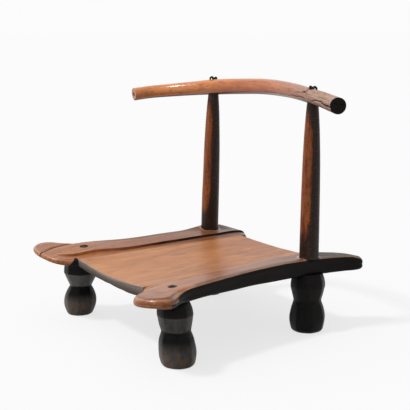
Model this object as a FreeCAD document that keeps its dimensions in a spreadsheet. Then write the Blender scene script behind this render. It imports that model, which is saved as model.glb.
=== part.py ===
import FreeCAD, Part
import math
import os
import Sketcher

# Low birthing chair: two carved side rails on four short legs, a dished seat panel between them,
# and a back made of two posts under one naturally curved branch.
#
# Frame: +Z up, the front of the seat faces -Y, +X is the sitter's left.
# The floor under the four feet is Z = 0.

doc = FreeCAD.newDocument("birthing_chair")

# Driving dimensions in millimetres. Each row is a name, a value and what it measures.
SIZES = [
    ("front_leg_height", 122.0, "floor to the seat cut for a front leg under its rail"),
    ("rail_depth", 28.0, "underside to top of a side rail at the front leg"),
    ("left_leg_x", 190.8, "middle plane to the left leg nail"),
    ("left_leg_y", -169.4, "left leg nail along the seat"),
    ("right_leg_x", 184.9, "middle plane to the right leg nail"),
    ("right_leg_y", -157.9, "right leg nail along the seat"),
    ("left_leg_setback", 4.8, "left leg's middle behind its nail"),
    ("right_leg_setback", -7.0, "right leg's middle behind its nail, so it stands ahead of it"),
    ("left_post_x", 169.8, "middle plane to the foot of the left post"),
    ("left_post_y", 166.6, "foot of the left post along the seat"),
    ("right_post_x", 177.3, "middle plane to the foot of the right post"),
    ("right_post_y", 159.2, "foot of the right post along the seat"),
    ("front_overhang", 93.0, "front leg nail to the tip of the paddle"),
    ("left_rear_overhang", 126.0, "left post to the rear end of its rail"),
    ("right_rear_overhang", 80.0, "right post to the rear end of its rail"),
    ("left_nose_lift", 1.0, "how far the left paddle's underside is cut up at its nose"),
    ("right_nose_lift", 5.0, "the same on the right paddle, which is thinner"),
    ("paddle_reach", 90.0, "leg nail to the outer side of the paddle"),
    ("slope_inner_x", 98.0, "middle plane to the inner line where a rail's heights are given"),
    ("slope_outer_reach", 102.0, "leg nail to the outer line where a rail's heights are given"),
    ("waist_reach", 18.0, "leg and post line to the outer edge at the rail's waist"),
    ("border_width", 40.0, "leg and post line to the carved border line on a rail"),
    ("border_step", 4.0, "drop from the border down to the ledge beside the seat"),
    ("rail_top_radius", 8.0, "rounding of the rail's upper edges"),
    ("rail_edge_radius", 5.0, "rounding of the rail's lower edges"),
    ("rail_crown", 1.8, "bulge across the rail's top at the front leg"),
    ("nose_round_length", 36.0, "length of the paddle's rounded tip"),
    ("tail_round_length", 20.0, "length of the tail's rounded tip"),
    ("panel_front_half", 132.0, "middle plane to the panel's joint at its front edge"),
    ("panel_rear_half", 110.0, "middle plane to the panel's joint at its rear edge"),
    ("panel_front_y", -197.0, "front edge of the panel"),
    ("panel_rear_y", 200.0, "rear edge of the panel"),
    ("panel_thickness", 15.5, "thickness of the seat panel"),
    ("panel_front_dish", 8.0, "how far the front edge dips in the middle"),
    ("panel_rear_dish", 2.5, "how far the rear edge dips in the middle"),
    ("joint_waste", 6.0, "wood left on a rail inside the joint and cut off with it"),
    ("tongue_setback", 14.0, "how far the tongue stops short of the panel's front and rear edges"),
    ("tongue_depth", 10.0, "how far the panel's tongue enters a rail"),
    ("tongue_thickness", 7.0, "thickness of the panel's tongue"),
    ("peg_diameter", 6.0, "hidden pegs through rail and tongue"),
    ("peg_spacing", 130.0, "one peg to the next along the joint"),
    ("peg_lip", 3.0, "how far a peg passes the tongue above and below"),
    ("front_foot_lean", 13.0, "how far a front foot stands outside its leg's top"),
    ("leg_tenon_diameter", 26.0, "round tenon on top of each front leg"),
    ("leg_tenon_length", 18.0, "length of that tenon"),
    ("post_foot_diameter", 39.5, "post where it stands on the rail"),
    ("post_neck_diameter", 23.0, "post under the back rail"),
    ("post_height", 313.0, "a post from its foot on the rail to the shoulder at its top"),
    ("post_top_x", 172.7, "middle plane to the top of each post"),
    ("post_top_y", 166.3, "top of each post along the seat"),
    ("post_tenon_diameter", 24.0, "tenon that goes through the rail into the rear leg"),
    ("post_tenon_into_leg", 28.0, "how far that tenon enters the leg"),
    ("neck_tenon_diameter", 17.0, "tenon from the post's neck into the back rail"),
    ("neck_tenon_length", 14.0, "length of the neck's tenon"),
    ("back_rail_diameter", 34.5, "back rail at its thickest"),
    ("back_rail_rise", 20.0, "shoulder of the posts to the middle of the back rail at its crown"),
    ("back_rail_sag", 27.0, "how far the end of the back rail hangs below its crown"),
    ("back_rail_bow", 160.0, "depth of the back rail's curve, front to back"),
    ("wire_diameter", 3.6, "iron wire of the curled pins"),
    ("wire_gap", 0.4, "gap between a pin's two legs"),
    ("curl_radius", 3.6, "middle radius of a pin's curled end"),
    ("pin_length", 36.0, "how far a pin goes down into rail and post"),
    ("nail_head_diameter", 14.5, "head of a leg nail"),
    ("nail_head_height", 2.6, "height of the domed head"),
    ("nail_shank_diameter", 5.0, "shank of a leg nail"),
    ("nail_length", 58.0, "shank of a leg nail from its head to its point"),
    ("head_clearance", 0.4, "round a nail head in its seat"),
    ("foot_clearance", 0.6, "round a post's foot in its seat"),
    ("neck_clearance", 0.8, "round a post's neck in its seat"),
    ("pin_clearance", 0.2, "between a pin's curls and the branch"),
    ("cut_overrun", 12.0, "how far cutting tools run past the wood"),
]

# Diameters of the four carved legs at their stations from the foot up.
LEG_STATIONS = ("foot", "lower_bulb", "waist", "upper_bulb", "top")
LEG_DIAMETERS = {
    "front_leg_left": (59.0, 68.0, 54.0, 68.0, 51.0),
    "front_leg_right": (52.0, 69.0, 45.0, 72.0, 68.0),
    "rear_leg_left": (65.0, 71.5, 54.0, 70.0, 58.0),
    "rear_leg_right": (58.0, 70.0, 50.0, 70.0, 62.0),
}
for leg_name, leg_diameters in LEG_DIAMETERS.items():
    for station_name, leg_diameter in zip(LEG_STATIONS, leg_diameters):
        SIZES.append(("%s_%s" % (leg_name, station_name), leg_diameter, "diameter of the carved leg"))

sheet = doc.addObject("Spreadsheet::Sheet", "sizes")
for row_number, (alias, value, meaning) in enumerate(SIZES, start=1):
    sheet.set("A%d" % row_number, alias)
    sheet.set("B%d" % row_number, str(value))
    sheet.setAlias("B%d" % row_number, alias)
    sheet.set("C%d" % row_number, meaning)
# The two places of the frame's origin are measured at the end from the finished chair.
centre_x_row = len(SIZES) + 1
for row_number, alias in ((centre_x_row, "centre_x"), (centre_x_row + 1, "centre_y")):
    sheet.set("A%d" % row_number, alias)
    sheet.set("B%d" % row_number, "0")
    sheet.setAlias("B%d" % row_number, alias)
doc.recompute()


def size(alias):
    return float(sheet.get(alias))


def between(start, end, share):
    return start + (end - start) * share


# Levels of the cuts and of the panel's sides, as shares of the rail's depth above the front leg.
LEVEL_SHARES = {"rear_leg": -0.036, "panel_front": 0.482, "panel_rear": 0.768, "nail_head": 0.839, "post_foot": 1.0}
LEVELS = {place: "(sizes.front_leg_height + sizes.rail_depth * %g)" % share
          for place, share in LEVEL_SHARES.items()}
LEVELS["front_leg"] = "sizes.front_leg_height"
LEVELS["post_top"] = "(%s + sizes.post_height)" % LEVELS["post_foot"]
LEVELS["back_rail"] = "(%s + sizes.back_rail_rise)" % LEVELS["post_top"]


def level(place):
    return float(sheet.evalExpression(LEVELS[place]))


def new_body(label):
    body = doc.addObject("PartDesign::Body", label)
    body.Label = label
    return body


def origin_plane(body, role):
    for item in body.Origin.OriginFeatures:
        if item.Role == role:
            return item
    raise ValueError("no plane " + role)


def plane_sketch(body, name, role, offset=0.0):
    # A sketch on one of the body's own origin planes, moved along the plane's normal.
    sketch = body.newObject("Sketcher::SketchObject", name)
    sketch.AttachmentSupport = [(origin_plane(body, role), "")]
    sketch.MapMode = "FlatFace"
    sketch.AttachmentOffset = FreeCAD.Placement(FreeCAD.Vector(0, 0, offset), FreeCAD.Rotation())
    return sketch


def bound_circle(sketch, radius_of):
    # A circle round the sketch's origin whose radius follows an expression on the sheet.
    circle = sketch.addGeometry(Part.Circle(FreeCAD.Vector(), FreeCAD.Vector(0, 0, 1), size("peg_diameter")), False)
    sketch.addConstraint(Sketcher.Constraint("Coincident", circle, 3, -1, 1))
    radius = sketch.addConstraint(Sketcher.Constraint("Radius", circle, size("peg_diameter")))
    sketch.setExpression("Constraints[%d]" % radius, radius_of)


def leaning_round(body, name, stations):
    # A round run lofted through level circles. Each station gives four expressions: radius, x, y, z.
    sections = []
    for number, (radius_of, x_of, y_of, z_of) in enumerate(stations):
        sketch = plane_sketch(body, "%s_ring_%d" % (name, number), "XY_Plane")
        bound_circle(sketch, radius_of)
        sketch.setExpression("AttachmentOffset.Base.x", x_of)
        sketch.setExpression("AttachmentOffset.Base.y", y_of)
        sketch.setExpression("AttachmentOffset.Base.z", z_of)
        sections.append(sketch)
    loft = body.newObject("PartDesign::AdditiveLoft", name)
    loft.Profile = sections[0]
    loft.Sections = sections[1:]
    loft.Ruled = len(sections) == 2
    doc.recompute()
    return loft


def round_pad(body, name, radius_of, place_of, length_of, down=False):
    # A cylinder grown up, or down, from a level circle at the place's three expressions.
    sketch = plane_sketch(body, name + "_ring", "XY_Plane")
    bound_circle(sketch, radius_of)
    for axis, expression in zip("xyz", place_of):
        sketch.setExpression("AttachmentOffset.Base." + axis, expression)
    pad = body.newObject("PartDesign::Pad", name)
    pad.Profile = sketch
    pad.Reversed = down
    pad.setExpression("Length", length_of)
    doc.recompute()
    return pad


def round_pocket(body, name, radius_of, place_of, depth_of, down=True):
    # A round hole cut down, or up, from a level circle at the place's three expressions.
    before = body.Shape.Volume
    sketch = plane_sketch(body, name + "_ring", "XY_Plane")
    bound_circle(sketch, radius_of)
    for axis, expression in zip("xyz", place_of):
        sketch.setExpression("AttachmentOffset.Base." + axis, expression)
    pocket = body.newObject("PartDesign::Pocket", name)
    pocket.Profile = sketch
    pocket.Reversed = not down
    pocket.setExpression("Length", depth_of)
    doc.recompute()
    if body.Shape.Volume >= before:
        raise RuntimeError(name + " cuts nothing")
    return pocket


def polygon_on(sketch, corners):
    # A closed outline of straight lines through the given corners of the sketch plane.
    points = [FreeCAD.Vector(across, up, 0) for across, up in corners]
    for start, end in zip(points, points[1:] + points[:1]):
        sketch.addGeometry(Part.LineSegment(start, end), False)


# Legs. Each is carved as two bulbs that meet in the sharp crease of a waist. The lower bulb is full and
# round, the upper one is a straight cone up to a belt-like edge, with a rounded shoulder above it.
# A run is a list of stations: height as a share of the leg's, the diameter's start and end station, and
# the share of the way between the two.

LEG_RUN_SHARES = {
    "lower": ((0.0, "foot", "foot", 0.0), (0.25, "lower_bulb", "lower_bulb", 0.0), (0.52, "waist", "waist", 0.0)),
    "cone": ((0.52, "waist", "waist", 0.0), (0.77, "upper_bulb", "upper_bulb", 0.0)),
    "shoulder": ((0.77, "upper_bulb", "upper_bulb", 0.0), (0.9, "upper_bulb", "top", 0.3), (1.0, "top", "top", 0.0)),
}


def carved_leg(label, height, lean):
    leg = new_body(label)
    for run, stations in LEG_RUN_SHARES.items():
        rings = []
        for height_share, start, end, share in stations:
            first = "sizes.%s_%s" % (label, start)
            last = "sizes.%s_%s" % (label, end)
            radius_of = "(%s + (%s - %s) * %g) / 2" % (first, last, first, share)
            rings.append((radius_of, "%s * %g" % (lean, 1 - height_share), "0", "%s * %g" % (height, height_share)))
        leaning_round(leg, "%s_%s" % (label, run), rings)
    return leg


CENTRE_X = "sizes.centre_x"
CENTRE_Y = "sizes.centre_y"


def place_on_floor(body, x_of, y_of, side):
    body.setExpression("Placement.Base.x", "%s * %d - %s" % (x_of, side, CENTRE_X))
    body.setExpression("Placement.Base.y", "%s - %s" % (y_of, CENTRE_Y))


def place_on_frame(body):
    body.setExpression("Placement.Base.x", "-" + CENTRE_X)
    body.setExpression("Placement.Base.y", "-" + CENTRE_Y)


SIDES = {"left": 1, "right": -1}
pieces = {}

for side_name, side in SIDES.items():
    front_leg = carved_leg("front_leg_" + side_name, LEVELS["front_leg"], "sizes.front_foot_lean * %d" % side)
    tenon_place = ("0", "0", LEVELS["front_leg"])
    round_pad(front_leg, "front_tenon_" + side_name, "sizes.leg_tenon_diameter / 2", tenon_place,
              "sizes.leg_tenon_length")
    nail_top = ("0", "-sizes.%s_leg_setback" % side_name, LEVELS["front_leg"] + " + sizes.leg_tenon_length")
    nail_in_leg = "sizes.nail_length - (%s - %s - sizes.leg_tenon_length)" % (LEVELS["nail_head"], LEVELS["front_leg"])
    round_pocket(front_leg, "front_bore_" + side_name, "sizes.nail_shank_diameter / 2", nail_top, nail_in_leg)
    leg_axis_y = "sizes.%s_leg_y + sizes.%s_leg_setback" % (side_name, side_name)
    place_on_floor(front_leg, "sizes.%s_leg_x" % side_name, leg_axis_y, side)
    pieces["front_leg_" + side_name] = front_leg

    rear_leg = carved_leg("rear_leg_" + side_name, LEVELS["rear_leg"], "0")
    socket_top = ("0", "0", LEVELS["rear_leg"])
    round_pocket(rear_leg, "rear_socket_" + side_name, "sizes.post_tenon_diameter / 2", socket_top,
                 "sizes.post_tenon_into_leg")
    place_on_floor(rear_leg, "sizes.%s_post_x" % side_name, "sizes.%s_post_y" % side_name, side)
    pieces["rear_leg_" + side_name] = rear_leg


# Back posts. A thin neck swells quickly and then keeps a long gentle taper down to the foot.

POST_HEIGHT_SHARES = (0.0, 0.2, 0.42, 0.66, 0.82, 0.91, 1.0)
POST_SWELL_SHARES = (1.0, 1.0, 0.9, 0.72, 0.5, 0.28, 0.0)

for side_name, side in SIDES.items():
    post = new_body("back_post_" + side_name)
    lean_x = "(sizes.post_top_x - sizes.%s_post_x) * %d" % (side_name, side)
    lean_y = "(sizes.post_top_y - sizes.%s_post_y)" % side_name
    stations = []
    for height_share, swell_share in zip(POST_HEIGHT_SHARES, POST_SWELL_SHARES):
        swell = "(sizes.post_foot_diameter - sizes.post_neck_diameter) * %g" % swell_share
        radius_of = "(sizes.post_neck_diameter + %s) / 2" % swell
        z_of = "sizes.post_height * %g" % height_share
        stations.append((radius_of, "%s * %g" % (lean_x, height_share), "%s * %g" % (lean_y, height_share), z_of))
    leaning_round(post, "post_stem_" + side_name, stations)
    tenon_length = "%s - %s + sizes.post_tenon_into_leg" % (LEVELS["post_foot"], LEVELS["rear_leg"])
    round_pad(post, "post_tenon_" + side_name, "sizes.post_tenon_diameter / 2", ("0", "0", "0"), tenon_length,
              down=True)
    neck_place = (lean_x, lean_y, "sizes.post_height")
    round_pad(post, "neck_tenon_" + side_name, "sizes.neck_tenon_diameter / 2", neck_place,
              "sizes.neck_tenon_length")
    place_on_floor(post, "sizes.%s_post_x" % side_name, "sizes.%s_post_y" % side_name, side)
    post.setExpression("Placement.Base.z", LEVELS["post_foot"])
    pieces["back_post_" + side_name] = post


# Side rails. Each is lofted through upright sections from the tip of its paddle to its tail, with the
# outer edges already rounded. Then the joint with the panel, the border line, the slot for the panel's
# tongue and the sockets are cut.
# A place along a rail is a zone and a share of that zone's length. The four heights are shares of the
# rail's depth above the front leg's seat: top at the inner side, top at the outer side, bottom at the
# inner side, bottom at the outer side.

RAIL_HEIGHT_SHARES = (
    ("nose", 1.2, 0.43, 0.95, -0.04, 0.65),
    ("nose", 0.75, 0.39, 1.03, -0.31, 0.55),
    ("nose", 0.34, 0.4, 1.08, -0.2, 0.15),
    ("middle", 0.08, 0.59, 1.14, -0.08, 0.04),
    ("middle", 0.26, 0.57, 1.3, 0.04, 0.11),
    ("middle", 0.44, 0.66, 1.4, 0.1, 0.14),
    ("middle", 0.62, 0.76, 1.48, 0.09, 0.12),
    ("middle", 0.8, 0.92, 1.33, 0.02, 0.04),
    ("middle", 0.99, 0.98, 1.14, -0.1, -0.07),
    ("tail", 0.37, 1.0, 0.98, -0.12, -0.11),
    ("tail", 0.76, 0.9, 0.86, -0.15, -0.14),
    ("tail", 1.15, 0.6, 0.55, -0.15, -0.14),
)
# The underside is cut up by the nose's lift ahead of these shares of the nose: none of it, all of it.
NOSE_LIFT_SHARES = (0.25, 0.75)
# Largest part of a section's least width or height that one rounded corner takes.
CORNER_ROOM_SHARE = 0.45
# Border line: the line's distance inside the leg and post line as a share of the border's width, and
# the ledge's drop as a share of the border's step.
BORDER_SHARES = (
    ("nose", 1.2, 0.2, -1.5),
    ("nose", 0.7, 0.4, 0.0),
    ("nose", 0.34, 0.64, 1.0),
    ("middle", 0.08, 0.87, 1.0),
    ("middle", 0.26, 0.96, 1.0),
    ("middle", 0.44, 0.99, 1.0),
    ("middle", 0.62, 1.04, 1.0),
    ("middle", 0.8, 1.13, 1.0),
    ("middle", 0.99, 1.06, 1.0),
    ("tail", 0.47, 0.9, 1.0),
    ("tail", 1.2, 0.7, 1.0),
)
# Plan of each paddle from its inner side round the nose to the shoulder: shares of the paddle's reach
# beyond the leg's nail, and of the front overhang.
NOSE_PLAN_SHARES = {
    "left": ((-0.33, 0.49), (-0.21, 0.68), (-0.02, 0.88), (0.24, 1.0), (0.53, 0.97), (0.8, 0.83),
             (0.93, 0.61), (0.87, 0.43), (0.68, 0.28)),
    "right": ((-0.54, 0.62), (-0.46, 0.77), (-0.28, 0.93), (0.05, 1.03), (0.43, 1.03), (0.76, 0.9),
              (0.91, 0.7), (0.91, 0.52), (0.8, 0.36)),
}
# Outer edge from the shoulder back to the post: place, and reach beyond the leg and post line as a
# share of the waist's reach.
OUTER_EDGE_SHARES = (
    ("nose", 0.0, 2.25),
    ("middle", 0.08, 1.87),
    ("middle", 0.26, 1.4),
    ("middle", 0.44, 1.0),
    ("middle", 0.62, 0.88),
    ("middle", 0.8, 0.75),
    ("middle", 0.99, 0.87),
)
# Plan of each tail from the post round its end to its inner side: reach beyond the leg and post line
# as a share of the waist's reach, and the place as a share of the rear overhang.
TAIL_PLAN_SHARES = {
    "left": ((1.25, 0.45), (1.56, 0.66), (1.94, 0.84), (1.92, 0.97), (1.3, 1.0), (0.5, 0.95),
             (-0.33, 0.81), (-1.06, 0.65), (-1.8, 0.47), (-2.5, 0.36)),
    "right": ((0.95, 0.5), (1.0, 0.72), (0.8, 0.86), (0.2, 0.95), (-0.6, 0.98), (-1.4, 0.98),
              (-2.2, 0.92), (-2.9, 0.8), (-3.4, 0.66)),
}
# How far along the joint the waste takes to reach its depth, as a share of that depth.
WASTE_RUN_SHARE = 4.0
# Sections close up towards a rounded end, and keep even steps along the rest of the rail.
ROUND_END_SHARES = (0.06, 0.2, 0.4, 0.68, 1.0)
ALONG_RAIL_SHARES = (0.025, 0.05, 0.08, 0.12, 0.17, 0.24, 0.31, 0.38, 0.45, 0.52, 0.59, 0.66, 0.73,
                     0.8, 0.86, 0.91, 0.95, 0.98)
# Points along each span of a plan curve where its width is measured.
PLAN_STEPS = 60


def line_x(side_name, y):
    # The straight line from the leg nail to the post's foot, seen in plan.
    leg_y = size(side_name + "_leg_y")
    share = (y - leg_y) / (size(side_name + "_post_y") - leg_y)
    return between(size(side_name + "_leg_x"), size(side_name + "_post_x"), share)


def rail_y(side_name, zone, share):
    leg_y = size(side_name + "_leg_y")
    post_y = size(side_name + "_post_y")
    if zone == "nose":
        return leg_y - size("front_overhang") * share
    if zone == "middle":
        return between(leg_y, post_y, share)
    return post_y + size(side_name + "_rear_overhang") * share


def panel_share(y):
    return (y - size("panel_front_y")) / (size("panel_rear_y") - size("panel_front_y"))


def panel_half(y):
    return between(size("panel_front_half"), size("panel_rear_half"), panel_share(y))


def panel_side_level(y):
    return between(level("panel_front"), level("panel_rear"), panel_share(y))


def share_across(side_name, x):
    outer = size(side_name + "_leg_x") + size("slope_outer_reach")
    return (x - size("slope_inner_x")) / (outer - size("slope_inner_x"))


def smooth_value(places, values, place):
    # A smooth curve through the values, with the slope at each taken from its neighbours.
    last = len(places) - 1
    index = 0
    while index < last - 1 and place > places[index + 1]:
        index += 1
    slopes = []
    for knot in (index, index + 1):
        before = max(knot - 1, 0)
        after = min(knot + 1, last)
        slopes.append((values[after] - values[before]) / (places[after] - places[before]))
    span = places[index + 1] - places[index]
    share = min(max((place - places[index]) / span, 0.0), 1.0)
    rise = share * share * (3 - 2 * share)
    leave = share * (1 - share) * (1 - share)
    arrive = share * share * (share - 1)
    return between(values[index], values[index + 1], rise) + span * (slopes[0] * leave + slopes[1] * arrive)


def rail_level(side_name, column, y):
    # Height of one of the four long lines of the rail at a place along it.
    places = [rail_y(side_name, row[0], row[1]) for row in RAIL_HEIGHT_SHARES]
    shares = [row[column] for row in RAIL_HEIGHT_SHARES]
    return size("front_leg_height") + size("rail_depth") * smooth_value(places, shares, y)


def nose_lift(side_name, y):
    start = rail_y(side_name, "nose", NOSE_LIFT_SHARES[0])
    full = rail_y(side_name, "nose", NOSE_LIFT_SHARES[1])
    share = min(max((y - start) / (full - start), 0.0), 1.0)
    return size(side_name + "_nose_lift") * share


def rail_top(side_name, x, y):
    return between(rail_level(side_name, 2, y), rail_level(side_name, 3, y), share_across(side_name, x))


def rail_low(side_name, x, y):
    low = between(rail_level(side_name, 4, y), rail_level(side_name, 5, y), share_across(side_name, x))
    return low + nose_lift(side_name, y)


def rail_crown(side_name, y, width):
    # The top is carved slightly round across the rail in front and flat at the post.
    leg_y = size(side_name + "_leg_y")
    share = (size(side_name + "_post_y") - y) / (size(side_name + "_post_y") - leg_y)
    return size("rail_crown") * min(max(share, 0.0), 1.0) * min(width / size("paddle_reach"), 1.0)


def rail_plan(side_name):
    # The plan of a rail, measured as points: nose, outer edge and tail, with both ends in the waste
    # that is cut off at the joint. The straight line that closes it lies in the waste too.
    leg_x = size(side_name + "_leg_x")
    leg_y = size(side_name + "_leg_y")
    front_waste = size("panel_front_y") + size("joint_waste") * WASTE_RUN_SHARE
    rear_waste = size("panel_rear_y") - size("joint_waste") * WASTE_RUN_SHARE
    points = [(panel_half(front_waste) - size("joint_waste"), front_waste)]
    points.append((size("panel_front_half"), size("panel_front_y")))
    for across, ahead in NOSE_PLAN_SHARES[side_name]:
        points.append((leg_x + size("paddle_reach") * across, leg_y - size("front_overhang") * ahead))
    for zone, share, reach in OUTER_EDGE_SHARES:
        y = rail_y(side_name, zone, share)
        points.append((line_x(side_name, y) + size("waist_reach") * reach, y))
    for reach, share in TAIL_PLAN_SHARES[side_name]:
        y = rail_y(side_name, "tail", share)
        points.append((line_x(side_name, y) + size("waist_reach") * reach, y))
    points.append((size("panel_rear_half"), size("panel_rear_y")))
    points.append((panel_half(rear_waste) - size("joint_waste"), rear_waste))
    curve = Part.BSplineCurve()
    curve.interpolate([FreeCAD.Vector(x, y, 0) for x, y in points])
    steps = PLAN_STEPS * len(points)
    measured = [curve.value(between(curve.FirstParameter, curve.LastParameter, step / steps))
                for step in range(steps + 1)]
    return [(point.x, point.y) for point in measured]


def plan_crossings(plan, y):
    # The inner and outer edge of the plan at one place along the rail.
    crossings = []
    for (start_x, start_y), (end_x, end_y) in zip(plan, plan[1:] + plan[:1]):
        if (start_y - y) * (end_y - y) <= 0 and start_y != end_y:
            crossings.append(between(start_x, end_x, (y - start_y) / (end_y - start_y)))
    return min(crossings), max(crossings)


def rounded_corner(corner, first, second, radius):
    # The arc that rounds a corner between two straight sides, as its start, middle and end.
    to_first = (first - corner).normalize()
    to_second = (second - corner).normalize()
    half_angle = to_first.getAngle(to_second) / 2
    middle_way = (to_first + to_second).normalize()
    centre = corner + middle_way * (radius / math.sin(half_angle))
    reach = radius / math.tan(half_angle)
    return corner + to_first * reach, centre - middle_way * radius, corner + to_second * reach


def rounded_section(sketch, corners, radii, crown):
    # Four straight sides with rounded corners. The last side but one, the top, bulges by the crown.
    corners = [FreeCAD.Vector(across, up, 0) for across, up in corners]
    arcs = []
    for number, corner in enumerate(corners):
        arcs.append(rounded_corner(corner, corners[number - 1], corners[(number + 1) % 4], radii[number]))
    for number, arc in enumerate(arcs):
        following = arcs[(number + 1) % 4]
        sketch.addGeometry(Part.Arc(*arc), False)
        if number == 2 and crown > 0:
            middle = (arc[2] + following[0]) / 2 + FreeCAD.Vector(0, crown, 0)
            sketch.addGeometry(Part.Arc(arc[2], middle, following[0]), False)
        else:
            sketch.addGeometry(Part.LineSegment(arc[2], following[0]), False)


def loft_through(body, name, kind, sections, ruled=False):
    before = body.Shape.Volume if body.Tip else 0.0
    loft = body.newObject(kind, name)
    loft.Profile = sections[0]
    loft.Sections = sections[1:]
    loft.Ruled = ruled
    doc.recompute()
    if kind == "PartDesign::SubtractiveLoft" and body.Shape.Volume >= before:
        raise RuntimeError(name + " cuts nothing")
    return loft


def upright_sketch(body, name, y):
    # The plane of X and Z faces -Y, so a place along +Y is a negative offset.
    return plane_sketch(body, name, "XZ_Plane", -y)


def rail_stations(side_name, front_tip, rear_tip):
    places = [front_tip + size("nose_round_length") * share for share in ROUND_END_SHARES]
    ends = [rear_tip - size("tail_round_length") * share for share in reversed(ROUND_END_SHARES)]
    for share in ALONG_RAIL_SHARES:
        places.append(between(places[len(ROUND_END_SHARES) - 1], ends[0], share))
    return places + ends


def end_drop(distance, radius):
    # How far a rounded end has fallen away at a distance from its tip.
    if distance >= radius:
        return 0.0
    return radius - math.sqrt(radius * radius - (radius - distance) * (radius - distance))


def rail_blank(rail, side_name, side):
    plan = rail_plan(side_name)
    front_tip = min(y for x, y in plan)
    rear_tip = max(y for x, y in plan)
    sections = []
    for number, y in enumerate(rail_stations(side_name, front_tip, rear_tip)):
        inner, outer = plan_crossings(plan, y)
        distance = min(y - front_tip, rear_tip - y)
        top_fall = end_drop(distance, size("rail_top_radius"))
        low_rise = end_drop(distance, size("rail_edge_radius"))
        inner_top = rail_top(side_name, inner, y) - top_fall
        outer_top = rail_top(side_name, outer, y) - top_fall
        inner_low = rail_low(side_name, inner, y) + low_rise
        outer_low = rail_low(side_name, outer, y) + low_rise
        room = min(outer - inner, outer_top - outer_low, inner_top - inner_low)
        top_radius = min(size("rail_top_radius"), room * CORNER_ROOM_SHARE)
        low_radius = min(size("rail_edge_radius"), room * CORNER_ROOM_SHARE)
        sketch = upright_sketch(rail, "%s_section_%d" % (rail.Name, number), y)
        corners = ((side * inner, inner_low), (side * outer, outer_low),
                   (side * outer, outer_top), (side * inner, inner_top))
        rounded_section(sketch, corners, (low_radius, low_radius, top_radius, top_radius),
                        rail_crown(side_name, y, outer - inner))
        sections.append(sketch)
    return loft_through(rail, rail.Name + "_blank", "PartDesign::AdditiveLoft", sections)


def cut_joint(rail, side_name, side):
    # The straight joint with the panel is sawn through the rail from top to bottom.
    before = rail.Shape.Volume
    plan = rail_plan(side_name)
    front = min(y for x, y in plan) - size("cut_overrun")
    rear = max(y for x, y in plan) + size("cut_overrun")
    sketch = plane_sketch(rail, rail.Name + "_joint_plan", "XY_Plane")
    polygon_on(sketch, ((side * panel_half(front), front), (side * panel_half(rear), rear), (0.0, rear), (0.0, front)))
    pocket = rail.newObject("PartDesign::Pocket", rail.Name + "_joint")
    pocket.Profile = sketch
    pocket.Type = "ThroughAll"
    pocket.Midplane = True
    doc.recompute()
    if rail.Shape.Volume >= before:
        raise RuntimeError("the joint is not cut")


def cut_border(rail, side_name, side):
    # The step of the border line and the ledge that runs from it down to the top of the panel. Where the
    # drop is negative the cut is lifted clear of the wood, so that the line fades out.
    sections = []
    for number, (zone, share, inside, drop) in enumerate(BORDER_SHARES):
        y = rail_y(side_name, zone, share)
        line = line_x(side_name, y) - size("border_width") * inside
        step = size("border_step") * drop
        joint = panel_half(y) - size("cut_overrun")
        floor = rail_top(side_name, line, y) - step
        run_share = (joint - line) / (panel_half(y) - line)
        inner_floor = between(floor, panel_side_level(y), run_share) + max(-step, 0.0)
        roof = rail_top(side_name, line, y) + size("cut_overrun")
        sketch = upright_sketch(rail, "%s_border_%d" % (rail.Name, number), y)
        polygon_on(sketch, ((side * joint, inner_floor), (side * line, floor), (side * line, roof),
                            (side * joint, roof)))
        sections.append(sketch)
    return loft_through(rail, rail.Name + "_border", "PartDesign::SubtractiveLoft", sections)


def tongue_section(body, name, y, side, start, reach):
    # The upright rectangle shared by the panel's tongue and the slot that takes it.
    middle = panel_side_level(y) - size("panel_thickness") / 2
    half = size("tongue_thickness") / 2
    sketch = upright_sketch(body, name, y)
    near = side * (panel_half(y) - start)
    far = side * (panel_half(y) + reach)
    polygon_on(sketch, ((near, middle - half), (far, middle - half), (far, middle + half), (near, middle + half)))
    return sketch


def tongue_ends():
    return size("panel_front_y") + size("tongue_setback"), size("panel_rear_y") - size("tongue_setback")


def peg_places():
    # The pegs stand along the middle of the tongue, the middle one halfway along the panel.
    middle = (size("panel_front_y") + size("panel_rear_y")) / 2
    places = []
    for step in (-1, 0, 1):
        y = middle + step * size("peg_spacing")
        places.append((panel_half(y) + size("tongue_depth") / 2, y, panel_side_level(y) - size("panel_thickness") / 2))
    return places


def level_circle(body, name, x, y, z, diameter):
    sketch = plane_sketch(body, name, "XY_Plane", z)
    sketch.AttachmentOffset = FreeCAD.Placement(FreeCAD.Vector(x, y, z), FreeCAD.Rotation())
    bound_circle(sketch, "sizes.%s / 2" % diameter)
    return sketch


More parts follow.
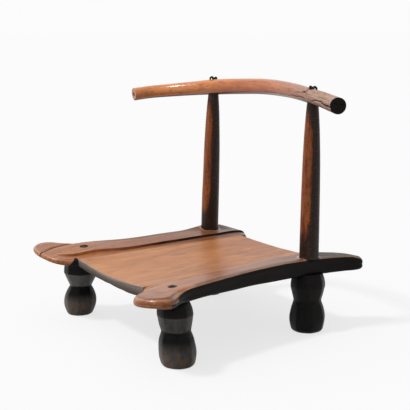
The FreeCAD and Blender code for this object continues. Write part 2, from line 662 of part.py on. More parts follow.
for side_name, side in SIDES.items():
    rail = new_body("side_rail_" + side_name)
    rail_blank(rail, side_name, side)
    cut_joint(rail, side_name, side)
    cut_border(rail, side_name, side)
    slot = [tongue_section(rail, "slot_%s_%d" % (side_name, number), y, side, size("cut_overrun"), size("tongue_depth"))
            for number, y in enumerate(tongue_ends())]
    loft_through(rail, "tongue_slot_" + side_name, "PartDesign::SubtractiveLoft", slot, ruled=True)
    nail_place = ["sizes.%s_leg_x * %d" % (side_name, side), "sizes.%s_leg_y" % side_name]
    leg_place = [nail_place[0], "sizes.%s_leg_y + sizes.%s_leg_setback" % (side_name, side_name)]
    post_place = ["sizes.%s_post_x * %d" % (side_name, side), "sizes.%s_post_y" % side_name]
    below = "sizes.cut_overrun"
    # Flat seats cut up into the underside, as wide as the bulb of the leg that stands there.
    round_pocket(rail, "front_seat_" + side_name, "sizes.front_leg_%s_upper_bulb / 2" % side_name,
                 leg_place + [LEVELS["front_leg"] + " - " + below], below, down=False)
    round_pocket(rail, "rear_seat_" + side_name, "sizes.rear_leg_%s_upper_bulb / 2" % side_name,
                 post_place + [LEVELS["rear_leg"] + " - " + below], below, down=False)
    round_pocket(rail, "tenon_hole_" + side_name, "sizes.leg_tenon_diameter / 2",
                 leg_place + [LEVELS["front_leg"] + " - " + below], "sizes.leg_tenon_length + " + below, down=False)
    # From above: the nail's head and shank, and the foot and tenon of the post.
    round_pocket(rail, "head_seat_" + side_name, "sizes.nail_head_diameter / 2 + sizes.head_clearance",
                 nail_place + [LEVELS["nail_head"] + " + " + below], below)
    round_pocket(rail, "shank_hole_" + side_name, "sizes.nail_shank_diameter / 2",
                 nail_place + [LEVELS["nail_head"] + " + " + below], below + " + sizes.rail_depth")
    round_pocket(rail, "foot_seat_" + side_name, "sizes.post_foot_diameter / 2 + sizes.foot_clearance",
                 post_place + [LEVELS["post_foot"] + " + " + below], below)
    round_pocket(rail, "post_hole_" + side_name, "sizes.post_tenon_diameter / 2",
                 post_place + [LEVELS["post_foot"] + " + " + below],
                 "%s * 2 + %s - %s" % (below, LEVELS["post_foot"], LEVELS["rear_leg"]))
    for number, (x, y, middle) in enumerate(peg_places()):
        before = rail.Shape.Volume
        top = middle + size("tongue_thickness") / 2 + size("peg_lip")
        sketch = level_circle(rail, "peg_ring_%s_%d" % (side_name, number), side * x, y, top, "peg_diameter")
        hole = rail.newObject("PartDesign::Pocket", "peg_hole_%s_%d" % (side_name, number))
        hole.Profile = sketch
        hole.setExpression("Length", "sizes.rail_depth")
        doc.recompute()
        if rail.Shape.Volume >= before:
            raise RuntimeError("a peg hole cuts nothing")
    place_on_frame(rail)
    pieces["side_rail_" + side_name] = rail


# Seat panel: one wide board, dished across, with a tongue along each side.

panel = new_body("seat_panel")
panel_sections = []
for end in ("front", "rear"):
    y = size("panel_%s_y" % end)
    half = size("panel_%s_half" % end)
    top = level("panel_" + end)
    dip = size("panel_%s_dish" % end)
    low = top - size("panel_thickness")
    sketch = upright_sketch(panel, "panel_%s_section" % end, y)
    corners = [FreeCAD.Vector(-half, top, 0), FreeCAD.Vector(half, top, 0),
               FreeCAD.Vector(half, low, 0), FreeCAD.Vector(-half, low, 0)]
    sketch.addGeometry(Part.Arc(corners[0], FreeCAD.Vector(0, top - dip, 0), corners[1]), False)
    sketch.addGeometry(Part.LineSegment(corners[1], corners[2]), False)
    sketch.addGeometry(Part.Arc(corners[2], FreeCAD.Vector(0, low - dip, 0), corners[3]), False)
    sketch.addGeometry(Part.LineSegment(corners[3], corners[0]), False)
    panel_sections.append(sketch)
loft_through(panel, "panel_board", "PartDesign::AdditiveLoft", panel_sections)


for side_name, side in SIDES.items():
    tongue = [tongue_section(panel, "tongue_%s_%d" % (side_name, number), y, side, size("cut_overrun"),
                             size("tongue_depth")) for number, y in enumerate(tongue_ends())]
    loft_through(panel, "tongue_" + side_name, "PartDesign::AdditiveLoft", tongue, ruled=True)
    for number, (x, y, middle) in enumerate(peg_places()):
        before = panel.Shape.Volume
        top = middle + size("tongue_thickness") / 2
        sketch = level_circle(panel, "tongue_ring_%s_%d" % (side_name, number), side * x, y, top, "peg_diameter")
        hole = panel.newObject("PartDesign::Pocket", "tongue_hole_%s_%d" % (side_name, number))
        hole.Profile = sketch
        hole.setExpression("Length", "sizes.tongue_thickness")
        doc.recompute()
        if panel.Shape.Volume >= before:
            raise RuntimeError("a tongue hole cuts nothing")
place_on_frame(panel)
pieces["seat_panel"] = panel


# Hidden pegs that hold the tongue in the rail.

for side_name, side in SIDES.items():
    pegs = []
    for number, (x, y, middle) in enumerate(peg_places()):
        peg = doc.addObject("Part::Cylinder", "peg_%s_%d" % (side_name, number))
        peg.setExpression("Radius", "sizes.peg_diameter / 2")
        peg.setExpression("Height", "sizes.tongue_thickness + sizes.peg_lip * 2")
        low = middle - size("tongue_thickness") / 2 - size("peg_lip")
        peg.Placement = FreeCAD.Placement(FreeCAD.Vector(side * x, y, low), FreeCAD.Rotation())
        pegs.append(peg)
    peg_row = doc.addObject("Part::MultiFuse", "panel_pegs_" + side_name)
    peg_row.Label = "panel_pegs_" + side_name
    peg_row.Shapes = pegs
    doc.recompute()
    place_on_frame(peg_row)
    pieces["panel_pegs_" + side_name] = peg_row


# Back rail: one naturally curved branch. Its stations are the place across as a share of the post
# tops' place, the place behind the post tops as a share of the bow, the fall below the crown as a share
# of the sag, and the diameter as a share of the thickest. They run from the sitter's right to the left.

BRANCH_SHARES = (
    (-1.731, -0.833, 0.981, 0.826),
    (-1.685, -0.583, 0.815, 0.826),
    (-1.529, -0.364, 0.667, 0.855),
    (-1.285, -0.158, 0.481, 0.913),
    (-1.0, 0.0, 0.296, 1.0),
    (-0.521, 0.129, 0.111, 0.986),
    (0.0, 0.164, 0.0, 0.957),
    (0.521, 0.109, 0.111, 0.899),
    (1.0, 0.0, 0.333, 0.855),
    (1.245, -0.077, 0.426, 0.87),
    (1.477, -0.171, 0.533, 0.884),
    (1.737, -0.283, 0.63, 0.913),
)
POST_STATIONS = {"right": 4, "left": 8}


def branch_centre(station):
    across, behind, fall, thickness = BRANCH_SHARES[station]
    return FreeCAD.Vector(size("post_top_x") * across, size("post_top_y") + size("back_rail_bow") * behind,
                          level("back_rail") - size("back_rail_sag") * fall)


def branch_radius(station):
    return size("back_rail_diameter") * BRANCH_SHARES[station][3] / 2


def branch_direction(station):
    before = max(station - 1, 0)
    after = min(station + 1, len(BRANCH_SHARES) - 1)
    return (branch_centre(after) - branch_centre(before)).normalize()


branch = new_body("back_rail")
rings = []
for station in range(len(BRANCH_SHARES)):
    along = branch_direction(station)
    across = FreeCAD.Vector(-along.y, along.x, 0).normalize()
    ring = plane_sketch(branch, "branch_ring_%d" % station, "XY_Plane")
    turn = FreeCAD.Rotation(across, along.cross(across), along, "ZXY")
    ring.AttachmentOffset = FreeCAD.Placement(branch_centre(station), turn)
    bound_circle(ring, "sizes.back_rail_diameter * %g / 2" % BRANCH_SHARES[station][3])
    rings.append(ring)
loft_through(branch, "branch_stem", "PartDesign::AdditiveLoft", rings)
for side_name, side in SIDES.items():
    neck_place = ["sizes.post_top_x * %d" % side, "sizes.post_top_y",
                  LEVELS["post_top"] + " - sizes.back_rail_diameter"]
    round_pocket(branch, "neck_seat_" + side_name, "sizes.post_neck_diameter / 2 + sizes.neck_clearance",
                 neck_place, "sizes.back_rail_diameter", down=False)
    round_pocket(branch, "neck_mortise_" + side_name, "sizes.neck_tenon_diameter / 2", neck_place,
                 "sizes.back_rail_diameter + sizes.neck_tenon_length", down=False)
    pin_top = ["sizes.post_top_x * %d" % side, "sizes.post_top_y",
               LEVELS["post_top"] + " + sizes.back_rail_diameter * 2"]
    round_pocket(branch, "pin_hole_" + side_name, "sizes.wire_diameter + sizes.wire_gap / 2", pin_top,
                 "sizes.back_rail_diameter * 2")
place_on_frame(branch)
pieces["back_rail"] = branch


# Curled iron pins. Doubled wire goes down through the branch into the post, and its two ends are curled
# outwards on top of the branch.

for side_name, side in SIDES.items():
    station = POST_STATIONS[side_name]
    centre = branch_centre(station)
    radius = branch_radius(station)
    spread = (size("wire_diameter") + size("wire_gap")) / 2
    curl = size("curl_radius")
    outer_curl = curl + size("wire_diameter") / 2
    reach = radius + outer_curl + size("pin_clearance")
    curl_level = math.sqrt(reach * reach - (spread + curl) * (spread + curl))
    bend_level = radius - size("pin_length") + spread + size("wire_diameter") / 2
    pin = new_body("iron_pin_" + side_name)
    route = plane_sketch(pin, "pin_route_" + side_name, "YZ_Plane")
    first = FreeCAD.Vector(-spread - curl, curl_level, 0)
    second = FreeCAD.Vector(spread + curl, curl_level, 0)
    upright = FreeCAD.Vector(0, 0, 1)
    quarter = math.pi / 2
    route.addGeometry(Part.ArcOfCircle(Part.Circle(first, upright, curl), 0.0, 3 * quarter), False)
    route.addGeometry(Part.LineSegment(FreeCAD.Vector(-spread, curl_level, 0),
                                       FreeCAD.Vector(-spread, bend_level, 0)), False)
    route.addGeometry(Part.ArcOfCircle(Part.Circle(FreeCAD.Vector(0, bend_level, 0), upright, spread),
                                       2 * quarter, 4 * quarter), False)
    route.addGeometry(Part.LineSegment(FreeCAD.Vector(spread, bend_level, 0),
                                       FreeCAD.Vector(spread, curl_level, 0)), False)
    route.addGeometry(Part.ArcOfCircle(Part.Circle(second, upright, curl), -quarter, 2 * quarter), False)
    wire = plane_sketch(pin, "pin_wire_" + side_name, "XZ_Plane", spread + curl)
    wire.AttachmentOffset = FreeCAD.Placement(FreeCAD.Vector(0, curl_level - curl, spread + curl), FreeCAD.Rotation())
    bound_circle(wire, "sizes.wire_diameter / 2")
    sweep = pin.newObject("PartDesign::AdditivePipe", "pin_sweep_" + side_name)
    sweep.Profile = wire
    sweep.Spine = (route, [])
    doc.recompute()
    along = branch_direction(station)
    turn = FreeCAD.Rotation(upright, math.degrees(math.atan2(along.y, along.x)))
    pin.Placement = FreeCAD.Placement(centre, turn)
    pin.setExpression("Placement.Base.x", "sizes.post_top_x * %d - %s" % (side, CENTRE_X))
    pin.setExpression("Placement.Base.y", "sizes.post_top_y - %s" % CENTRE_Y)
    pieces["iron_pin_" + side_name] = pin
    # The bore that the pin drives into the post, from the top of its tenon.
    post = pieces["back_post_" + side_name]
    fall, thickness = BRANCH_SHARES[station][2:]
    pin_end = "%s - sizes.back_rail_sag * %g + sizes.back_rail_diameter * %g / 2 - sizes.pin_length" % (
        LEVELS["back_rail"], fall, thickness)
    round_pocket(post, "pin_bore_" + side_name, "sizes.wire_diameter + sizes.wire_gap / 2",
                 ["(sizes.post_top_x - sizes.%s_post_x) * %d" % (side_name, side),
                  "sizes.post_top_y - sizes.%s_post_y" % side_name,
                  "sizes.post_height + sizes.neck_tenon_length"],
                 "%s + sizes.neck_tenon_length - (%s)" % (LEVELS["post_top"], pin_end))


# Leg nails: a domed head with an upright rim, and a straight shank with a short blunt point.

NAIL_POINT_SHARE = 0.4
HEAD_RIM_SHARE = 0.33

for side_name, side in SIDES.items():
    nail = new_body("leg_nail_" + side_name)
    profile = plane_sketch(nail, "nail_profile_" + side_name, "XZ_Plane")
    shank = size("nail_shank_diameter") / 2
    head = size("nail_head_diameter") / 2
    dome = size("nail_head_height")
    tip = -size("nail_length")
    point = shank * NAIL_POINT_SHARE
    rim = dome * HEAD_RIM_SHARE
    ball = (head * head + (dome - rim) * (dome - rim)) / (dome - rim) / 2
    half_turn = math.asin(head / ball) / 2
    outline = [FreeCAD.Vector(0, tip, 0), FreeCAD.Vector(point, tip, 0), FreeCAD.Vector(shank, tip + shank * 2, 0),
               FreeCAD.Vector(shank, 0, 0), FreeCAD.Vector(head, 0, 0), FreeCAD.Vector(head, rim, 0),
               FreeCAD.Vector(0, dome, 0)]
    for start, end in zip(outline[:5], outline[1:6]):
        profile.addGeometry(Part.LineSegment(start, end), False)
    on_dome = FreeCAD.Vector(ball * math.sin(half_turn), dome - ball * (1 - math.cos(half_turn)), 0)
    profile.addGeometry(Part.Arc(outline[5], on_dome, outline[6]), False)
    profile.addGeometry(Part.LineSegment(outline[6], outline[0]), False)
    turned = nail.newObject("PartDesign::Revolution", "nail_turned_" + side_name)
    turned.Profile = profile
    turned.ReferenceAxis = (profile, ["V_Axis"])
    doc.recompute()
    place_on_floor(nail, "sizes.%s_leg_x" % side_name, "sizes.%s_leg_y" % side_name, side)
    nail.setExpression("Placement.Base.z", LEVELS["nail_head"])
    pieces["leg_nail_" + side_name] = nail


# The frame's origin lies on the floor under the middle of the whole chair.

doc.recompute()
whole = FreeCAD.BoundBox()
for piece in pieces.values():
    whole.add(piece.Shape.optimalBoundingBox(False))
sheet.set("B%d" % centre_x_row, str(whole.Center.x))
sheet.set("B%d" % (centre_x_row + 1), str(whole.Center.y))
doc.recompute()

for item in doc.Objects:
    if "Invalid" in item.State or "Error" in item.State:
        raise RuntimeError(item.Name + " failed")
os.makedirs("parts", exist_ok=True)
for label, piece in pieces.items():
    shape = piece.Shape
    if shape.isNull() or not shape.isValid():
        raise RuntimeError(label + " is not a valid solid")
    print(label, len(shape.Solids), len(shape.Faces), round(shape.Volume))
    shape.exportStep("parts/%s.step" % label)
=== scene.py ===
# %% [markdown]
# # A low birthing chair, dressed in Blender
#
# The chair is a broad dished seat on four stubby legs. Two carved side rails run along the seat, each
# with a rounded paddle in front, and two posts carry one curved branch as the back. The imported frame
# gives every piece its place, so the first step loads it.

# %% Load the frame
import math
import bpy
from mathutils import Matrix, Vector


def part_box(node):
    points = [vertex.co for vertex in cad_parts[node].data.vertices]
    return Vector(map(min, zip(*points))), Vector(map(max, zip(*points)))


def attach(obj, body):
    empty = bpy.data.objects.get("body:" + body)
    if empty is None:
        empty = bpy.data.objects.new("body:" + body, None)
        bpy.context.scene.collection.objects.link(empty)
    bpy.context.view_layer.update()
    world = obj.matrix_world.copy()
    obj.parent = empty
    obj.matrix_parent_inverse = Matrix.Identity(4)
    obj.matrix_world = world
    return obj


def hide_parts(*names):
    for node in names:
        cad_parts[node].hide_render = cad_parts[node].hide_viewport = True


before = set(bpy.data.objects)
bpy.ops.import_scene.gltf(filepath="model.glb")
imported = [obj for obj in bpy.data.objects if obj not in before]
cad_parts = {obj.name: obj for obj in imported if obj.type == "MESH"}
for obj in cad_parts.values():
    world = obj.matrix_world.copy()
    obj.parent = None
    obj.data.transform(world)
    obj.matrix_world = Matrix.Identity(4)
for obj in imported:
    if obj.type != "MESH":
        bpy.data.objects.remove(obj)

from types import SimpleNamespace
import bmesh
import bpy
import numpy as np
from mathutils import Vector

bpy.context.scene.view_settings.view_transform = "Standard"
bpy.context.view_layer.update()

# %% [markdown]
# ## Camera
#
# A photographer stood in front of the chair at its left corner and looked slightly down. The viewpoint
# was worked out once from the feet, the rails and the posts, whose real distances are known. A long lens
# keeps the near and far rails almost parallel, so its focal length matters as much as its place.

# %% Camera
camera_data = bpy.data.cameras.new("front_corner_view")
camera_data.sensor_width = 36.0
camera_data.lens = 87.24
camera = bpy.data.objects.new("front_corner_view", camera_data)
camera.location = (1.6788, -1.1017, 0.6117)
camera.rotation_euler = (math.radians(79.72), 0.0, math.radians(56.35))
bpy.context.scene.collection.objects.link(camera)
bpy.context.scene.camera = camera
print("camera", tuple(round(v, 3) for v in camera.location))

# %% [markdown]
# ## Floor, world and lamps
#
# The chair stands on a seamless pale floor. Its shadow is broad and soft and falls to the right, so the
# main lamp is large, high and on the left. A sun lamp with a wide angle lights the whole floor evenly,
# which keeps the horizon out of sight. The floor and the world show a little extra white to the camera
# and in reflections only, so the chair itself gets no more light from it.

# %% Colour helper
def tone(red, green, blue):
    # A colour as a painter would read it off a screen, turned into the linear values of a shader.
    linear = []
    for part in (red, green, blue):
        part = part / 255.0
        linear.append(part / 12.92 if part <= 0.04045 else ((part + 0.055) / 1.055) ** 2.4)
    return (*linear, 1.0)


print("mid grey", tuple(round(v, 3) for v in tone(128, 128, 128)))

# %% Node helpers
def add_node(tree, kind, **settings):
    node = tree.nodes.new(kind)
    for key, value in settings.items():
        setattr(node, key, value)
    return node


def feed(tree, socket, source):
    # A source is either another node's socket or a plain value for this one.
    if isinstance(source, bpy.types.NodeSocket):
        tree.links.new(source, socket)
    else:
        socket.default_value = source


def math_node(tree, operation, first, second=0.5, clamp=False):
    node = add_node(tree, "ShaderNodeMath", operation=operation, use_clamp=clamp)
    feed(tree, node.inputs[0], first)
    feed(tree, node.inputs[1], second)
    return node.outputs[0]


def mixed(tree, share, first, second):
    node = add_node(tree, "ShaderNodeMix", data_type="RGBA")
    feed(tree, node.inputs["Factor"], share)
    feed(tree, node.inputs[6], first)
    feed(tree, node.inputs[7], second)
    return node.outputs[2]


def ranged(tree, value, low, high, to_low=0.0, to_high=1.0, smooth=False):
    node = add_node(tree, "ShaderNodeMapRange", clamp=True)
    if smooth:
        node.interpolation_type = "SMOOTHSTEP"
    for name, source in (("Value", value), ("From Min", low), ("From Max", high), ("To Min", to_low),
                         ("To Max", to_high)):
        feed(tree, node.inputs[name], source)
    return node.outputs[0]


def new_finish(name):
    finish = bpy.data.materials.new(name)
    finish.use_nodes = True
    return finish, finish.node_tree, finish.node_tree.nodes["Principled BSDF"]


print("node helpers ready")

# %% Floor and world
# The white that the camera sees all round, the floor's own grey, and the extra white that it needs.
FLOOR_WHITE = 0.97
FLOOR_OWN = 0.24
CAMERA_LIFT = 0.73
# The world's light on the chair, and how much it changes towards the window and away from it.
SKY_LIGHT = 0.55
SIDE_LIGHT = 0.42
WINDOW_WAY = (-0.554, -0.832, 0.0)
HALF_FLOOR = 60.0
PURE_WHITE = (1.0, 1.0, 1.0, 1.0)


def seen_directly(tree):
    # One where a ray comes from the camera, from a mirror-like reflection or through glass.
    rays = add_node(tree, "ShaderNodeLightPath").outputs
    seen = math_node(tree, "MAXIMUM", rays["Is Camera Ray"], rays["Is Glossy Ray"])
    return math_node(tree, "MAXIMUM", seen, rays["Is Transmission Ray"])


floor_finish, tree, shader = new_finish("pale_floor")
shader.inputs["Base Color"].default_value = (FLOOR_OWN, FLOOR_OWN, FLOOR_OWN, 1.0)
shader.inputs["Roughness"].default_value = 0.9
shader.inputs["Specular IOR Level"].default_value = 0.0
shader.inputs["Emission Color"].default_value = PURE_WHITE
feed(tree, shader.inputs["Emission Strength"], math_node(tree, "MULTIPLY", seen_directly(tree), CAMERA_LIFT))

floor_mesh = bpy.data.meshes.new("studio_floor")
corners = [(x * HALF_FLOOR, y * HALF_FLOOR, 0.0) for x, y in ((-1, -1), (1, -1), (1, 1), (-1, 1))]
floor_mesh.from_pydata(corners, [], [(0, 1, 2, 3)])
floor_mesh.materials.append(floor_finish)
studio_floor = bpy.data.objects.new("studio_floor", floor_mesh)
bpy.context.scene.collection.objects.link(studio_floor)

world = bpy.data.worlds.new("studio_air")
bpy.context.scene.world = world
world.use_nodes = True
tree = world.node_tree
air = tree.nodes["Background"]
air.inputs["Color"].default_value = PURE_WHITE
# The room is brighter on the chair's front right, where its large window is, and darker opposite.
towards_window = add_node(tree, "ShaderNodeVectorMath", operation="DOT_PRODUCT")
feed(tree, towards_window.inputs[0], add_node(tree, "ShaderNodeTexCoord").outputs["Generated"])
feed(tree, towards_window.inputs[1], WINDOW_WAY)
side_light = math_node(tree, "MULTIPLY", towards_window.outputs["Value"], SIDE_LIGHT)
sky = math_node(tree, "ADD", side_light, SKY_LIGHT)
feed(tree, air.inputs["Strength"], ranged(tree, seen_directly(tree), 0.0, 1.0, sky, FLOOR_WHITE))
print("floor and world ready")

# %% Lamps
def sun_lamp(name, travel, strength, spread):
    lamp_data = bpy.data.lights.new(name, "SUN")
    lamp_data.energy = strength
    lamp_data.angle = math.radians(spread)
    lamp = bpy.data.objects.new(name, lamp_data)
    lamp.rotation_euler = Vector(travel).to_track_quat("-Z", "Y").to_euler()
    bpy.context.scene.collection.objects.link(lamp)
    return lamp


main_lamp = sun_lamp("high_window_lamp", travel=(0.15, 0.60, -1.0), strength=1.6, spread=8.0)
print("lamp direction", [round(v, 2) for v in main_lamp.rotation_euler])

# %% [markdown]
# ## Shapes from rings
#
# Every wooden piece here was cut from a solid with an axe and an adze. Its skin can be described by
# rings of points, one after another along the piece: level rings for the legs and posts, upright rings
# for the rails and the seat. A helper joins the rings with faces and closes the ends. Each point also
# carries its place along and across the grain, and a few marks from nought to one, such as soot, painted
# shade or a painted sheen, which tell the woods where their coats go.

# %% Place of the seat
seat_low, seat_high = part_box("seat_panel")
PANEL_FRONT = 197.0
SHIFT = np.array([(seat_low[0] + seat_high[0]) / 2, seat_low[1] + PANEL_FRONT / 1000.0, 0.0])
print("seat's own origin in the frame", SHIFT.round(5))

# %% Ring helper
def ring_piece(name, rings, grain, marks, sharp):
    # rings is stations by points by three, in millimetres. grain has the same form, and marks maps a
    # name to stations by points.
    stations, around = rings.shape[:2]
    points = rings.reshape(-1, 3)
    grain_points = grain.reshape(-1, 3)
    mark_points = {}
    for mark, values in marks.items():
        mark_points[mark] = np.broadcast_to(values, (stations, around)).reshape(-1)
    faces = []
    for station in range(stations - 1):
        start = station * around
        for step in range(around):
            following = (step + 1) % around
            faces.append((start + step, start + following, start + around + following, start + around + step))
    for start in (0, (stations - 1) * around):
        rim = slice(start, start + around)
        points = np.vstack([points, points[rim].mean(axis=0)])
        grain_points = np.vstack([grain_points, grain_points[rim].mean(axis=0)])
        for mark in mark_points:
            mark_points[mark] = np.append(mark_points[mark], mark_points[mark][rim].mean())
        for step in range(around):
            faces.append((start + step, start + (step + 1) % around, len(points) - 1))
    mesh = bpy.data.meshes.new(name)
    mesh.from_pydata((points / 1000.0 + SHIFT).tolist(), [], faces)
    shaper = bmesh.new()
    shaper.from_mesh(mesh)
    bmesh.ops.recalc_face_normals(shaper, faces=shaper.faces)
    shaper.to_mesh(mesh)
    shaper.free()
    grain_mark = mesh.attributes.new("grain", "FLOAT_VECTOR", "POINT")
    grain_mark.data.foreach_set("vector", grain_points.astype("f").ravel())
    for mark, values in mark_points.items():
        mesh.attributes.new(mark, "FLOAT", "POINT").data.foreach_set("value", values.astype("f"))
    mesh.shade_smooth()
    mesh.set_sharp_from_angle(angle=math.radians(sharp))
    piece = bpy.data.objects.new(name, mesh)
    bpy.context.scene.collection.objects.link(piece)
    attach(piece, "root")
    print(name, len(mesh.vertices), "points")
    return piece


# %% Waves of the carver's hand
WAVE_COUNT = 7


def hand_waves(places, length, seed):
    # A smooth value between about -1 and 1 at each place, from a few waves in seeded directions.
    dice = np.random.default_rng(seed)
    total = np.zeros(places.shape[:-1])
    for _ in range(WAVE_COUNT):
        way = dice.normal(size=3)
        way = way / np.linalg.norm(way) * dice.uniform(0.6, 1.5) * 2 * math.pi / length
        total += np.sin(places @ way + dice.uniform(0, 2 * math.pi))
    return total / (WAVE_COUNT / 2)


def smooth_curve(places, values, wanted):
    # The value at each wanted place on a smooth curve, with each slope taken from the neighbours.
    places = np.asarray(places, float)
    values = np.asarray(values, float)
    slopes = np.empty(len(places))
    slopes[1:-1] = (values[2:] - values[:-2]) / (places[2:] - places[:-2])
    slopes[0] = (values[1] - values[0]) / (places[1] - places[0])
    slopes[-1] = (values[-1] - values[-2]) / (places[-1] - places[-2])
    wanted = np.asarray(wanted, float)
    index = np.clip(np.searchsorted(places, wanted) - 1, 0, len(places) - 2)
    span = places[index + 1] - places[index]
    share = np.clip((wanted - places[index]) / span, 0.0, 1.0)
    rise = share * share * (3 - 2 * share)
    leave = share * (1 - share) ** 2
    arrive = share * share * (share - 1)
    return (values[index] + (values[index + 1] - values[index]) * rise
            + span * (slopes[index] * leave + slopes[index + 1] * arrive))


def swell(value, low, high):
    share = np.clip((value - low) / (high - low), 0.0, 1.0)
    return share * share * (3 - 2 * share)


def hump(value, middle, half_width):
    # One at the middle, falling to nothing on both sides.
    return np.exp(-((value - middle) / half_width) ** 2)


def end_drop(distance, radius):
    # How far a rounded end has fallen away at a distance from its tip.
    gap = np.clip(radius - distance, 0.0, radius)
    return radius - np.sqrt(radius * radius - gap * gap)


def natural_curve(points, steps):
    # A smooth curve through the points, measured by the chord between them.
    points = np.asarray(points, float)
    places = np.concatenate([[0.0], np.cumsum(np.linalg.norm(np.diff(points, axis=0), axis=1))])
    spans = np.diff(places)
    count = len(points)
    system = np.eye(count)
    bends = np.zeros((count, 2))
    for row in range(1, count - 1):
        system[row, row - 1:row + 2] = spans[row - 1], 2 * (spans[row - 1] + spans[row]), spans[row]
        chords = np.diff(points[row - 1:row + 2], axis=0) / spans[row - 1:row + 1, None]
        bends[row] = 6 * (chords[1] - chords[0])
    bends = np.linalg.solve(system, bends)
    wanted = np.linspace(0, places[-1], steps)
    index = np.clip(np.searchsorted(places, wanted) - 1, 0, count - 2)
    span = spans[index][:, None]
    right = (wanted - places[index])[:, None] / span
    left = 1 - right
    return (left * points[index] + right * points[index + 1]
            + ((left ** 3 - left) * bends[index] + (right ** 3 - right) * bends[index + 1]) * span * span / 6)


def crack_mark(paths, x, y, half_width):
    # One on a crack's line, falling to nothing beside it.
    mark = np.zeros_like(x)
    for path in paths:
        line = natural_curve(path, 80)
        away = np.sqrt(((x[..., None] - line[:, 0]) ** 2 + (y[..., None] - line[:, 1]) ** 2).min(axis=-1))
        mark = np.maximum(mark, hump(away, 0.0, half_width))
    return mark


print("waves at three places", hand_waves(np.eye(3) * 10, 30.0, 1).round(2))

# %% [markdown]
# ## Legs
#
# Each leg is one short log. Its carver cut two bulbs that meet in a sharp waist: a full round bulb below,
# and above it a straight cone up to a belt, with a rounded shoulder under the rail. A lathe would make
# them perfectly round, but these were chopped, so each level is a many-sided cut whose flats don't line
# up with those above. The rings are therefore lathe rings with shallow flats pressed into them.

# %% Leg rings
LEG_LEVEL = 122.0
# Each leg: the place of its axis, how far its foot leans out, its height, how far the arris of the foot
# is rubbed, and its diameters at the foot, the lower bulb, the waist, the belt and the top.
LEG_AXES = {
    "front_leg_left": (190.2, -165.6, 13.5, LEG_LEVEL, 6.0, (60.0, 71.0, 55.0, 68.5, 52.0)),
    "front_leg_right": (-184.5, -164.2, -13.0, LEG_LEVEL, 3.0, (52.0, 70.5, 46.5, 73.0, 71.0)),
    "rear_leg_left": (168.9, 165.1, 0.0, LEG_LEVEL - 1.0, 8.0, (64.0, 73.5, 57.0, 72.5, 60.0)),
    "rear_leg_right": (-177.3, 159.2, 0.0, LEG_LEVEL - 1.0, 4.0, (54.0, 67.0, 49.0, 69.0, 62.0)),
}
WAIST_SHARE = 0.52
BELT_SHARE = 0.77
FLAT_DEPTH = 0.55
BLADE_SIDES = 8
FIRST_CORNER_TURN = math.radians(56.3)
# How strongly a painted reflection of the pale floor greys the cone and the lower bulb of each leg.
FLOOR_SHEEN_SHARES = {"front_leg_left": (0.95, 1.05), "front_leg_right": (1.7, 1.15),
               "rear_leg_left": (0.16, 0.12), "rear_leg_right": (0.5, 0.4)}


def bulb_radius(share, diameters):
    foot, lower, waist, upper, top = (diameter / 2 for diameter in diameters)
    below = np.polyfit((0.0, 0.25, WAIST_SHARE), (foot, lower, waist), 2)
    above = np.polyfit((BELT_SHARE, 0.9, 1.0), (upper, upper + (top - upper) * 0.3, top), 2)
    cone = waist + (upper - waist) * (share - WAIST_SHARE) / (BELT_SHARE - WAIST_SHARE)
    return np.where(share < WAIST_SHARE, np.polyval(below, share),
                    np.where(share < BELT_SHARE, cone, np.polyval(above, share)))


def blade_flats(turns, dice):
    # The share of the full radius at each turn of a log cut to a few uneven sides.
    corners = np.cumsum(dice.uniform(0.8, 1.25, BLADE_SIDES))
    corners = corners / corners[-1] * 2 * math.pi + FIRST_CORNER_TURN
    turned = (turns - corners[0]) % (2 * math.pi)
    edges = np.append((corners - corners[0]), 2 * math.pi)
    index = np.clip(np.searchsorted(edges, turned, side="right") - 1, 0, len(edges) - 2)
    middle = (edges[index] + edges[index + 1]) / 2
    return np.cos((edges[index + 1] - edges[index]) / 2) / np.cos(turned - middle)


